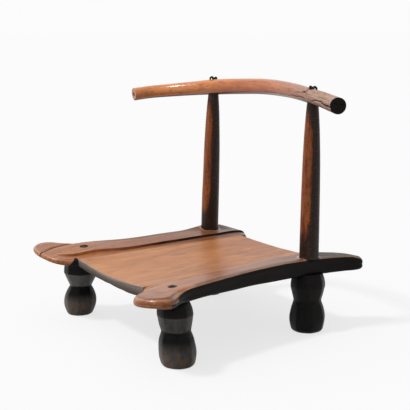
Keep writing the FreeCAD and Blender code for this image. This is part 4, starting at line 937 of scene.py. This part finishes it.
def hand_cut(side_name, rings, edge, seed):
    # Changes the rings in place, and returns what the marks need to know about each point.
    (leg_x, leg_y), (post_x, post_y) = LINES[side_name]["leg"], LINES[side_name]["post"]
    across, along, height = rings[..., 0], rings[..., 1], rings[..., 2]
    top_level = height[:, :TOP_COUNT].max(axis=1)[:, None]
    from_edge = np.zeros_like(height)
    from_edge[:, :TOP_COUNT] = edge
    # The top is almost flat, and the wall and the underside keep long adze cuts.
    uneven = 0.5 + 0.5 * hand_waves(rings * np.array([1.0, 0.4, 1.0]), 34.0, seed)
    height -= 0.5 * uneven * ON_TOP * np.clip(from_edge / 12.0, 0, 1)
    height += 0.9 * uneven * UNDER * np.sin(math.pi * LOW_SHARES) ** 0.5
    across -= 1.1 * uneven * np.sin(math.pi * WALL_SHARES)
    # The nail's seat and the cracks.
    from_nail = np.hypot(across - leg_x, along - leg_y)
    seat = (from_nail < NAIL_SEAT_RADIUS) & (ON_TOP[None] > 0)
    height[:] = np.where(seat, np.minimum(height, NAIL_SEAT_LEVEL), height)
    crack = crack_mark(CRACKS[side_name], across, along, CRACK_HALF_WIDTH) * ON_TOP
    height -= CRACK_DEPTH * crack
    # Driving the post in has raised a low lip round its foot.
    from_post = np.hypot(across - post_x, along - post_y)
    foot_lip = hump(from_post, 22.5, 2.2) * ON_TOP * np.clip(from_edge / 8.0, 0, 1)
    height += 1.1 * foot_lip
    return SimpleNamespace(fallen=top_level - height, from_edge=from_edge, from_nail=from_nail,
                           from_post=from_post, crack=crack, foot_lip=foot_lip)


print("cracks in the right rail:", len(CRACKS["right"]))

# %% Marks of a rail
# How much of each mark the two rails show: the notch beside the nose, painted sheen, breaks in the border
# line, the line's painted highlight, the black outer lip, and smoke and painted shade on the nose.
NOTCH_SHARES = {"left": 0.0, "right": 1.0}
SHEEN_SHARES = {"left": 0.55, "right": 0.35}
BREAK_SHARES = {"left": 0.5, "right": 0.1}
BRIGHT_SHARES = {"left": 1.0, "right": 0.25}
LIP_SHARES = {"left": 1.0, "right": 0.6}
NOSE_SMOKE_AND_SHADE_SHARES = {"left": 1.0, "right": 0.25}


def rail_soot_and_shade(side_name, rings, found, on_line):
    leg_y, (post_x, post_y) = LINES[side_name]["leg"][1], LINES[side_name]["post"]
    across, along, tail_tip = rings[..., 0], rings[..., 1], rings[-1, 0, 1]
    # Soot together with painted shade: the black sides and underside, the border's step, the cracks, shade
    # round the nail and the post's foot, and the black lip and tail.
    nail_shade = hump(found.from_nail, NAIL_SEAT_RADIUS, 1.5) * ON_TOP
    foot_shade = np.exp(-np.clip(found.from_post - 20.0, 0, None) / 1.2) * ON_TOP
    middle_part = swell(along, leg_y - 36.0, leg_y - 8.0)
    half_way = 1 - swell(WALL_SHARES, 0.86, 1.0) * (1 - middle_part)
    lip = 0.95 * (1 - swell(found.from_edge, 1.0, 3.6)) * ON_TOP * middle_part
    past_nose = swell(along, leg_y - 58.0, leg_y - 34.0)
    notch_start = 9.0 + np.clip(-PANEL_FRONT - along, 0, None) * 0.8
    notch = hump(across, 136.0, 10.0) * swell(along, leg_y - 68.0, leg_y - 52.0) * (along < -PANEL_FRONT + 1)
    notch *= swell(found.fallen, notch_start, notch_start + 3.0) * NOTCH_SHARES[side_name]
    rubbed_tail = 1 - 0.5 * swell(along, tail_tip - 20.0, tail_tip - 3.0)
    ridge = post_x + 4.0 + 18.0 * swell(along, post_y, tail_tip)
    tail = swell(along, post_y + 14.0, post_y + 30.0) * ON_TOP * (1 - swell(across, ridge - 4.0, ridge + 4.0))
    sides = (ON_WALL * half_way + UNDER) * np.maximum(past_nose, notch) * rubbed_tail + notch * 1.2
    return np.clip(sides + on_line + 1.4 * found.crack + nail_shade + foot_shade * 0.6
                   + (lip + 0.6 * tail) * LIP_SHARES[side_name], 0, 1)


def rail_marks(side_name, rings, found, line, step, seed):
    leg_y, post_y = LINES[side_name]["leg"][1], LINES[side_name]["post"][1]
    across, along, outer = rings[..., 0], rings[..., 1], rings[:, :1, 0]
    beside_line = across - line
    along_only = np.array([0.0, 1.0, 0.0])
    broken = 1 - BREAK_SHARES[side_name] * (0.5 - 0.5 * hand_waves(rings * along_only, 46.0, seed + 3))
    full = ON_TOP * step * broken
    deeper = 0.3 + 0.45 * swell(along, leg_y - 20.0, post_y - 40.0)
    # The border's step and the groove at its foot are darkened with painted shade, deeper towards the rear.
    dark_line = np.maximum(hump(beside_line, -1.0, 0.85), ON_STEP) * full * deeper
    # A painted highlight on the arris above the border's step.
    bright_line = hump(beside_line, 1.0, 1.2) * full * BRIGHT_SHARES[side_name]
    # A painted highlight along the rounded rims of the top.
    rim = hump(found.from_edge, 3.4, 2.2) * ON_TOP
    # A painted sheen along the middle of the border, fading towards the rear.
    band = swell(beside_line, -3.0, 3.0) * (1 - swell(across, outer - 16.0, outer - 8.0)) * ON_TOP
    band *= (1 - 0.9 * swell(along, leg_y + 150, post_y + 10)) * SHEEN_SHARES[side_name]
    strip = swell(across, outer - 22.0, outer - 12.0) * ON_TOP * swell(along, leg_y + 10, leg_y + 60)
    nose_smoke = 0.45 * (1 - swell(along, leg_y - 44.0, leg_y - 6.0))
    # A band of painted shade along the nose's rounded lip.
    nose_band = 0.8 * hump(found.from_edge, 9.0, 2.6) * (1 - swell(along, leg_y - 40.0, leg_y))
    nose_smoke_and_shade = np.maximum(nose_smoke, nose_band) * NOSE_SMOKE_AND_SHADE_SHARES[side_name] * ON_TOP
    # The marks: painted highlights on the rims and on the line's arris with wear on the lip round the
    # post's foot, a painted sheen on the middle of the border, the darker outer strip with smoke and painted
    # shade on the nose, and the darker rear.
    return {"soot_and_shade": rail_soot_and_shade(side_name, rings, found, dark_line),
            "worn_and_painted_light": np.clip(bright_line + rim * 0.6 + 0.9 * found.foot_lip, 0, 1), "painted_sheen": band,
            "strip": np.maximum(strip, nose_smoke_and_shade), "level": swell(along, leg_y, post_y + 30.0)}


print("rail marks ready")

# %% Side rails
def rail_piece(side_name, side, seed):
    rings, line, step, edge = rail_rings(side_name)
    found = hand_cut(side_name, rings, edge, seed)
    marks = rail_marks(side_name, rings, found, line, step, seed)
    grain = rings[..., [1, 0, 2]]
    rings = rings * np.array([side, 1.0, 1.0])
    piece = ring_piece("side_rail_%s_plank" % side_name, rings, grain, marks, sharp=42.0)
    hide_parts("side_rail_" + side_name)
    return piece


rails = [rail_piece("left", 1.0, 71), rail_piece("right", -1.0, 73)]

# %% [markdown]
# ## Seat
#
# The seat is a wide board, dished across and polished by use. It meets the ledges of the rails so
# closely that the three look like one surface. One ring is its upright section from side to side, and
# the rings follow one another from the front edge, where the arris is worn round, to the back.

# %% Seat board
SEAT_POINTS = 120
FRONT_DISH, REAR_DISH = 8.0, 2.5


def seat_piece():
    rub = 2.2
    front, rear = -PANEL_FRONT, PANEL_REAR
    stations = np.concatenate([front + rub * (1 - np.cos(np.linspace(0, math.pi / 2, 8))),
                               np.linspace(front + rub + 1, rear - 2, 190), [rear - 1.0, rear]])
    share = panel_share(stations)[:, None]
    half = panel_half(stations)[:, None]
    side_level = panel_side_level(stations)[:, None]
    dish = FRONT_DISH + (REAR_DISH - FRONT_DISH) * share
    ways = np.linspace(-1, 1, SEAT_POINTS)[None]
    x = half * ways
    sag = dish * (1 - ways ** 2)
    fall = end_drop(stations - front, rub)[:, None]
    places = np.stack([x, stations[:, None] + 0 * x, side_level - sag - fall], axis=-1)
    low = np.stack([x, stations[:, None] + 0 * x, side_level - sag - PANEL_THICKNESS + fall * 0.6], axis=-1)
    uneven = 0.5 + 0.5 * hand_waves(places * np.array([1.0, 0.4, 1.0]), 60.0, 91)
    edge_free = np.clip((1 - np.abs(ways)) * 9, 0, 1)
    places[..., 2] -= 0.5 * uneven * edge_free
    low[..., 2] += 0.7 * (0.5 + 0.5 * hand_waves(low, 40.0, 92)) * edge_free
    low[..., 2] -= 4.2 * swell(ways, -0.1, 0.75) * (1 - swell(stations, -160.0, -70.0))[:, None]
    rings = np.concatenate([places, low[:, ::-1]], axis=1)
    grain = rings[..., [1, 0, 2]].copy()
    cut_end = (1 - swell(stations, front + 0.8, front + 2.4))[:, None] * np.ones(rings.shape[1])
    under = np.repeat([0.0, 1.0], SEAT_POINTS)[None] * np.ones_like(cut_end)
    near_side = 0.85 + 0.4 * ways + 0.3 * np.clip(ways, 0, 1) ** 2
    shaded = np.clip(share, 0, 1) * np.concatenate([near_side, near_side], axis=1)
    # Soot marks the dull underside, worn the end grain in front, and level the darker rear left corner.
    marks = {"soot_and_shade": under, "worn_and_painted_light": cut_end, "level": shaded}
    piece = ring_piece("seat_panel_board", rings, grain, marks, sharp=50.0)
    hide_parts("seat_panel")
    return piece


seat = seat_piece()

# %% [markdown]
# ## Surface effects shared by the woods
#
# All the woods here show long streaks and fibres, blotches of old smoke and oil, and fine scratches.
# Each effect is one node group with named inputs, so a material only says how long, fine or strong it
# is. The groups read the grain direction that the rings left on the mesh, so a streak follows the bent
# branch as well as the straight boards, and a mark breaks up at its border as real wear does.

# %% Group helpers
NUMBER, VECTOR = "NodeSocketFloat", "NodeSocketVector"


def new_group(name, inputs, outputs):
    # The group, the sockets that it is given and the sockets of its result.
    group = bpy.data.node_groups.new(name, "ShaderNodeTree")
    for socket_name, kind, value in inputs:
        socket = group.interface.new_socket(socket_name, in_out="INPUT", socket_type=kind)
        if value is not None:
            socket.default_value = value
    for socket_name in outputs:
        group.interface.new_socket(socket_name, in_out="OUTPUT", socket_type=NUMBER)
    return group, group.nodes.new("NodeGroupInput").outputs, group.nodes.new("NodeGroupOutput").inputs


def noise(tree, place, scale, detail=2.0, roughness=0.5, distortion=0.0):
    node = add_node(tree, "ShaderNodeTexNoise")
    for name, source in (("Vector", place), ("Scale", scale), ("Detail", detail), ("Roughness", roughness),
                         ("Distortion", distortion)):
        feed(tree, node.inputs[name], source)
    return node.outputs["Fac"]


def stretched_place(tree, place, along, across):
    # Millimetres along and across the grain, turned into wavelengths of the given lengths.
    factors = add_node(tree, "ShaderNodeCombineXYZ")
    feed(tree, factors.inputs[0], math_node(tree, "DIVIDE", 1.0, along))
    side = math_node(tree, "DIVIDE", 1.0, across)
    feed(tree, factors.inputs[1], side)
    feed(tree, factors.inputs[2], side)
    node = add_node(tree, "ShaderNodeVectorMath", operation="MULTIPLY")
    feed(tree, node.inputs[0], place)
    feed(tree, node.inputs[1], factors.outputs[0])
    return node.outputs[0]


print("group helpers ready")

# %% Group: long grain
long_grain, given, result = new_group(
    "long_grain", (("Grain", VECTOR, None), ("Streak Length", NUMBER, 160.0), ("Streak Width", NUMBER, 7.0),
                   ("Wander", NUMBER, 0.3)), ("Streaks", "Fibres", "Relief"))
tree = long_grain
streak_place = stretched_place(tree, given["Grain"], given["Streak Length"], given["Streak Width"])
streaks = ranged(tree, noise(tree, streak_place, 1.0, 3.0, 0.6, given["Wander"]), 0.3, 0.7, smooth=True)
fine_length = math_node(tree, "MULTIPLY", given["Streak Length"], 0.28)
fine_width = math_node(tree, "MULTIPLY", given["Streak Width"], 0.12)
fibre_place = stretched_place(tree, given["Grain"], fine_length, fine_width)
fibres = ranged(tree, noise(tree, fibre_place, 1.0, 2.0, 0.6), 0.32, 0.68)
relief = math_node(tree, "ADD", math_node(tree, "MULTIPLY", streaks, 0.35),
                   math_node(tree, "MULTIPLY", fibres, 0.65))
for name, source in (("Streaks", streaks), ("Fibres", fibres), ("Relief", relief)):
    feed(tree, result[name], source)
print("group", long_grain.name, "with", len(long_grain.nodes), "nodes")

# %% Group: old stains
old_stains, given, result = new_group(
    "old_stains", (("Grain", VECTOR, None), ("Patch Length", NUMBER, 60.0), ("Patch Width", NUMBER, 30.0),
                   ("Cover", NUMBER, 0.5), ("Softness", NUMBER, 0.15)), ("Mask",))
tree = old_stains
patch_place = stretched_place(tree, given["Grain"], given["Patch Length"], given["Patch Width"])
patches = noise(tree, patch_place, 1.0, 4.0, 0.55, 0.4)
middle = ranged(tree, given["Cover"], 0.0, 1.0, 0.72, 0.28)
low = math_node(tree, "SUBTRACT", middle, given["Softness"])
high = math_node(tree, "ADD", middle, given["Softness"])
feed(tree, result["Mask"], ranged(tree, patches, low, high, smooth=True))
print("group", old_stains.name, "with", len(old_stains.nodes), "nodes")

# %% Group: fine scratches
fine_scratches, given, result = new_group(
    "fine_scratches", (("Grain", VECTOR, None), ("Length", NUMBER, 22.0), ("Width", NUMBER, 0.9),
                       ("Cover", NUMBER, 0.3)), ("Mask",))
tree = fine_scratches
turned = add_node(tree, "ShaderNodeVectorRotate", rotation_type="AXIS_ANGLE")
turned.inputs["Axis"].default_value = (0.2, 0.5, 0.84)
turned.inputs["Angle"].default_value = 0.5
feed(tree, turned.inputs["Vector"], given["Grain"])
slanting = stretched_place(tree, turned.outputs[0], given["Length"], given["Width"])
crossing = stretched_place(tree, given["Grain"], given["Width"], given["Length"])
sharpest = math_node(tree, "MAXIMUM", noise(tree, slanting, 1.0, 1.0), noise(tree, crossing, 1.0, 1.0))
edge = ranged(tree, given["Cover"], 0.0, 1.0, 0.8, 0.55)
feed(tree, result["Mask"], ranged(tree, sharpest, edge, math_node(tree, "ADD", edge, 0.05)))
print("group", fine_scratches.name, "with", len(fine_scratches.nodes), "nodes")

# %% Group: handled edge
handled_edge, given, result = new_group(
    "handled_edge", (("Edge", NUMBER, 0.0), ("Grain", VECTOR, None), ("Break Up", NUMBER, 0.5),
                     ("Size", NUMBER, 9.0)), ("Mask",))
tree = handled_edge
long_size = math_node(tree, "MULTIPLY", given["Size"], 2.5)
spots = noise(tree, stretched_place(tree, given["Grain"], long_size, given["Size"]), 1.0, 3.0, 0.6)
shaken = math_node(tree, "MULTIPLY", math_node(tree, "SUBTRACT", spots, 0.5), given["Break Up"])
broken_edge = math_node(tree, "ADD", given["Edge"], shaken)
feed(tree, result["Mask"], ranged(tree, broken_edge, 0.25, 0.75, smooth=True))
print("group", handled_edge.name, "with", len(handled_edge.nodes), "nodes")

# %% [markdown]
# ## Woods and iron
#
# The seat is oiled and handled: orange-brown with a satin gloss. The rails are the same wood, but smoke
# has blackened their sides, with painted shade there too, the cracks are black, and painted shade darkens
# the border line's step. The legs are nearly black all over, greyed in patches by a painted reflection of
# the floor, the posts dark with warmer patches where hands held them, and the branch glossy, paler and
# dusty towards one end. One class starts a wood with its streaks, and each wood then lays its own thin
# coats over them, from a list of masks, strengths and tones.

# %% Wood helper
def raise_relief(tree, shader, height, strength, distance):
    bump = add_node(tree, "ShaderNodeBump")
    bump.inputs["Strength"].default_value = strength
    bump.inputs["Distance"].default_value = distance
    feed(tree, bump.inputs["Height"], height)
    feed(tree, shader.inputs["Normal"], bump.outputs["Normal"])


class Wood:
    # A wood's finish: two tones in streaks along the grain, and then one thin coat after another.
    def __init__(self, name, length, width, wander, dark_hue, light_hue):
        self.finish, self.tree, self.shader = new_finish(name)
        self.grain = add_node(self.tree, "ShaderNodeAttribute", attribute_name="grain").outputs["Vector"]
        self.lines = self.streaks(length, width, wander)
        self.colour = mixed(self.tree, self.lines["Streaks"], tone(*dark_hue), tone(*light_hue))

    def effect(self, group, **sources):
        # The outputs of a shared group, laid along this wood's grain.
        node = add_node(self.tree, "ShaderNodeGroup", node_tree=group)
        feed(self.tree, node.inputs["Grain"], self.grain)
        for name, source in sources.items():
            feed(self.tree, node.inputs[name.replace("_", " ")], source)
        return node.outputs

    def streaks(self, length, width, wander):
        return self.effect(long_grain, Streak_Length=length, Streak_Width=width, Wander=wander)

    def stains(self, length, width, cover, softness):
        sizes = {"Patch_Length": length, "Patch_Width": width, "Cover": cover, "Softness": softness}
        return self.effect(old_stains, **sizes)["Mask"]

    def scratches(self, length, width, cover):
        return self.effect(fine_scratches, Length=length, Width=width, Cover=cover)["Mask"]

    def mark(self, name):
        return add_node(self.tree, "ShaderNodeAttribute", attribute_name=name).outputs["Fac"]

    def broken_mark(self, name, break_up, size):
        return self.effect(handled_edge, Edge=self.mark(name), Break_Up=break_up, Size=size)["Mask"]

    def times(self, first, second):
        return math_node(self.tree, "MULTIPLY", first, second)

    def two_tones(self, mask, first_hue, second_hue):
        return mixed(self.tree, mask, tone(*first_hue), tone(*second_hue))

    def coat(self, mask, share, hue):
        # A coat's hue is one tone, or a colour that changes over the surface.
        colour = tone(*hue) if isinstance(hue, tuple) else hue
        self.colour = mixed(self.tree, self.times(mask, share), self.colour, colour)

    def dress(self, pieces, gloss, specular, relief, strength, distance):
        feed(self.tree, self.shader.inputs["Base Color"], self.colour)
        feed(self.tree, self.shader.inputs["Roughness"], gloss)
        self.shader.inputs["Specular IOR Level"].default_value = specular
        raise_relief(self.tree, self.shader, relief, strength, distance)
        for piece in pieces:
            piece.data.materials.append(self.finish)
        print(self.finish.name, len(self.tree.nodes), "nodes")


# %% Seat wood
wood = Wood("oiled_seat_wood", 150.0, 8.0, 0.35, (176, 112, 64), (212, 146, 92))
narrow = wood.streaks(240.0, 2.6, 0.2)["Streaks"]
broad = wood.stains(170.0, 60.0, 0.5, 0.3)
dark = wood.stains(46.0, 16.0, 0.2, 0.12)
golden = wood.stains(110.0, 38.0, 0.42, 0.14)
scratch = wood.scratches(26.0, 0.8, 0.25)
rear_part, fibres, worn_and_painted_light = wood.mark("level"), wood.lines["Fibres"], wood.mark("worn_and_painted_light")
sunny = ranged(wood.tree, rear_part, 0.0, 0.45, 0.4, 0.0, smooth=True)
end_grain = wood.two_tones(fibres, (178, 168, 160), (100, 92, 88))
end_grain = mixed(wood.tree, wood.times(broad, 0.5), end_grain, tone(92, 76, 66))
for mask, share, hue in (
        (sunny, 1.0, (232, 168, 112)), (rear_part, 0.45, (132, 84, 58)), (narrow, 0.22, (134, 78, 46)),
        (broad, 0.65, (174, 98, 56)), (golden, 0.45, (222, 150, 82)), (fibres, 0.22, (120, 70, 42)),
        (dark, 0.5, (122, 66, 38)), (worn_and_painted_light, 1.0, end_grain), (wood.mark("soot_and_shade"), 1.0, (58, 40, 28))):
    wood.coat(mask, share, hue)
gloss = ranged(wood.tree, fibres, 0.0, 1.0, 0.36, 0.46)
gloss = math_node(wood.tree, "ADD", gloss, wood.times(worn_and_painted_light, 0.3))
relief = math_node(wood.tree, "SUBTRACT", wood.lines["Relief"], wood.times(scratch, 0.5))
wood.dress([seat], gloss, 0.4, relief, 0.25, 0.0004)

# %% Rail wood
wood = Wood("smoked_rail_wood", 120.0, 6.0, 0.4, (160, 94, 50), (204, 134, 78))
broad = wood.stains(120.0, 34.0, 0.5, 0.25)
spots = wood.stains(16.0, 8.0, 0.22, 0.1)
# These masks carry painted light as well as soot, wear and smoke: shade on the border's step, round the nail,
# the post's foot and the nose, highlights on the rims, and a sheen on the border.
soot_and_shade_edge = wood.broken_mark("soot_and_shade", 0.35, 8.0)
wear_and_highlight = wood.broken_mark("worn_and_painted_light", 0.6, 12.0)
sheen_band = wood.broken_mark("painted_sheen", 0.45, 20.0)
strip_smoke_and_shade = wood.broken_mark("strip", 0.9, 11.0)
black = wood.two_tones(wood.lines["Streaks"], (5, 4, 4), (22, 13, 10))
for mask, share, hue in (
        (broad, 0.7, (150, 82, 44)), (wood.lines["Fibres"], 0.25, (110, 60, 38)), (spots, 0.5, (92, 54, 36)),
        (wood.mark("level"), 0.65, (84, 56, 42)), (strip_smoke_and_shade, 0.85, (100, 50, 26)),
        (sheen_band, 0.34, (168, 128, 106)), (wear_and_highlight, 0.5, (206, 156, 120)), (soot_and_shade_edge, 1.0, black)):
    wood.coat(mask, share, hue)
# A thin varnish of handling shines most on the rims and not at all on the soot and painted shade.
polish = math_node(wood.tree, "SUBTRACT", 1.0, soot_and_shade_edge)
rim_polish = ranged(wood.tree, wood.mark("worn_and_painted_light"), 0.0, 0.6, 0.4, 1.0)
feed(wood.tree, wood.shader.inputs["Coat Weight"], wood.times(polish, rim_polish))
wood.shader.inputs["Coat Roughness"].default_value = 0.27
gloss = ranged(wood.tree, wood.lines["Fibres"], 0.0, 1.0, 0.34, 0.46)
wood.dress(rails, gloss, 0.1, wood.lines["Relief"], 0.3, 0.0005)

# %% Leg wood
wood = Wood("blackened_leg_wood", 40.0, 5.0, 0.6, (8, 7, 6), (18, 15, 14))
blotch = wood.stains(26.0, 18.0, 0.45, 0.24)
specks = wood.stains(7.0, 4.0, 0.3, 0.1)
# The painted sheen is a painted reflection of the pale floor: grey higher up, browner in patches low down.
low_down = ranged(wood.tree, wood.mark("level"), 0.12, 0.5, 1.0, 0.0, smooth=True)
sheen_tone = wood.two_tones(wood.times(low_down, blotch), (126, 123, 119), (140, 110, 92))
sheen_amount = math_node(wood.tree, "ADD", wood.mark("painted_sheen"), -0.12)
patchy = ranged(wood.tree, blotch, 0.0, 1.0, 0.42, 0.92)
sheen_patches = math_node(wood.tree, "MULTIPLY", sheen_amount, patchy, clamp=True)
# The last coat is painted shade in the waist and on the top under the rail.
for mask, share, hue in (
        (sheen_patches, 0.85, sheen_tone), (specks, 0.3, (40, 34, 30)), (wood.mark("worn_and_painted_light"), 0.1, (120, 104, 90)),
        (wood.mark("soot_and_shade"), 1.0, (5, 4, 4))):
    wood.coat(mask, share, hue)
gloss = ranged(wood.tree, blotch, 0.0, 1.0, 0.3, 0.45)
wood.dress(legs, gloss, 0.09, wood.lines["Relief"], 0.4, 0.0006)

# %% Post wood
wood = Wood("handled_post_wood", 90.0, 5.0, 0.5, (80, 33, 12), (150, 76, 32))
held = wood.stains(60.0, 14.0, 0.5, 0.2)
specks = wood.stains(9.0, 4.0, 0.3, 0.08)
# This mark darkens the top and the foot and paints shade on the side away from the window.
dark_ends_and_painted_shade = wood.broken_mark("soot_and_shade", 0.6, 10.0)
scratch = wood.scratches(10.0, 0.8, 0.5)
for mask, share, hue in (
        (held, 0.55, (178, 102, 50)), (specks, 0.5, (40, 18, 9)), (dark_ends_and_painted_shade, 0.94, (8, 5, 4)),
        (scratch, 0.35, (170, 124, 92))):
    wood.coat(mask, share, hue)
gloss = ranged(wood.tree, wood.lines["Fibres"], 0.0, 1.0, 0.32, 0.46)
wood.dress(posts, gloss, 0.2, wood.lines["Relief"], 0.35, 0.0005)

# %% Branch wood
wood = Wood("polished_branch_wood", 120.0, 6.0, 0.5, (202, 104, 44), (234, 142, 76))
broad = wood.stains(90.0, 22.0, 0.5, 0.25)
spots = wood.stains(18.0, 6.0, 0.3, 0.1)
dusty = wood.mark("level")
checked = wood.times(wood.streaks(70.0, 2.4, 0.5)["Streaks"], dusty)
dark_ends_and_painted_shade = wood.broken_mark("worn_and_painted_light", 0.6, 9.0)
charred = wood.broken_mark("soot_and_shade", 0.35, 4.0)
burnt = wood.two_tones(spots, (4, 4, 4), (38, 26, 20))
for mask, share, hue in (
        # The strip coat is a painted highlight on the end at the sitter's right.
        (broad, 0.7, (168, 80, 34)), (wood.mark("strip"), 0.7, (252, 160, 84)),
        (wood.lines["Fibres"], 0.35, (126, 64, 36)), (dusty, 0.8, (196, 168, 152)),
        # The underside is darkened with painted shade.
        (checked, 0.45, (112, 84, 70)), (spots, 0.4, (96, 48, 28)), (dark_ends_and_painted_shade, 0.9, (30, 18, 14)),
        (charred, 1.0, burnt)):
    wood.coat(mask, share, hue)
dull = math_node(wood.tree, "MAXIMUM", dusty, wood.mark("soot_and_shade"))
dull = math_node(wood.tree, "MAXIMUM", dull, wood.mark("worn_and_painted_light"))
feed(wood.tree, wood.shader.inputs["Coat Weight"], math_node(wood.tree, "SUBTRACT", 1.0, dull, clamp=True))
wood.shader.inputs["Coat Roughness"].default_value = 0.2
gloss = ranged(wood.tree, dusty, 0.0, 1.0, 0.26, 0.5)
wood.dress([branch], gloss, 0.12, wood.lines["Relief"], 0.3, 0.0005)

# %% [markdown]
# ## Iron and pegs
#
# The pins and nails are forged iron, black from the fire and browned by rust in places. They have no
# grain of their own, so their blotches read the object's own place instead. The pegs are plain wood and
# stay hidden inside the joint.

# %% Iron
def own_place(tree):
    return add_node(tree, "ShaderNodeTexCoord").outputs["Object"]


iron, tree, shader = new_finish("forged_iron")
rust = noise(tree, own_place(tree), 260.0, 4.0, 0.65)
fine = noise(tree, own_place(tree), 1400.0, 2.0, 0.5)
rusty = ranged(tree, rust, 0.46, 0.62, smooth=True)
feed(tree, shader.inputs["Base Color"], mixed(tree, rusty, tone(26, 25, 25), tone(58, 38, 28)))
feed(tree, shader.inputs["Metallic"], ranged(tree, rusty, 0.0, 1.0, 0.6, 0.15))
feed(tree, shader.inputs["Roughness"], ranged(tree, fine, 0.3, 0.7, 0.38, 0.6))
raise_relief(tree, shader, math_node(tree, "ADD", rust, math_node(tree, "MULTIPLY", fine, 0.5)), 0.4, 0.0003)

peg_wood, tree, shader = new_finish("plain_peg_wood")
rings_seen = noise(tree, own_place(tree), 300.0, 3.0, 0.6)
feed(tree, shader.inputs["Base Color"], mixed(tree, rings_seen, tone(120, 84, 54), tone(160, 118, 80)))
feed(tree, shader.inputs["Roughness"], ranged(tree, rings_seen, 0.3, 0.7, 0.6, 0.75))

for pin in pins:
    pin.data.materials.append(iron)
for node_name, node_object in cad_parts.items():
    if node_name.startswith("leg_nail"):
        finish = iron
    elif node_name.startswith("panel_pegs"):
        finish = peg_wood
    else:
        continue
    for slot in node_object.material_slots:
        slot.material = finish
    print(node_name, "now wears", finish.name)
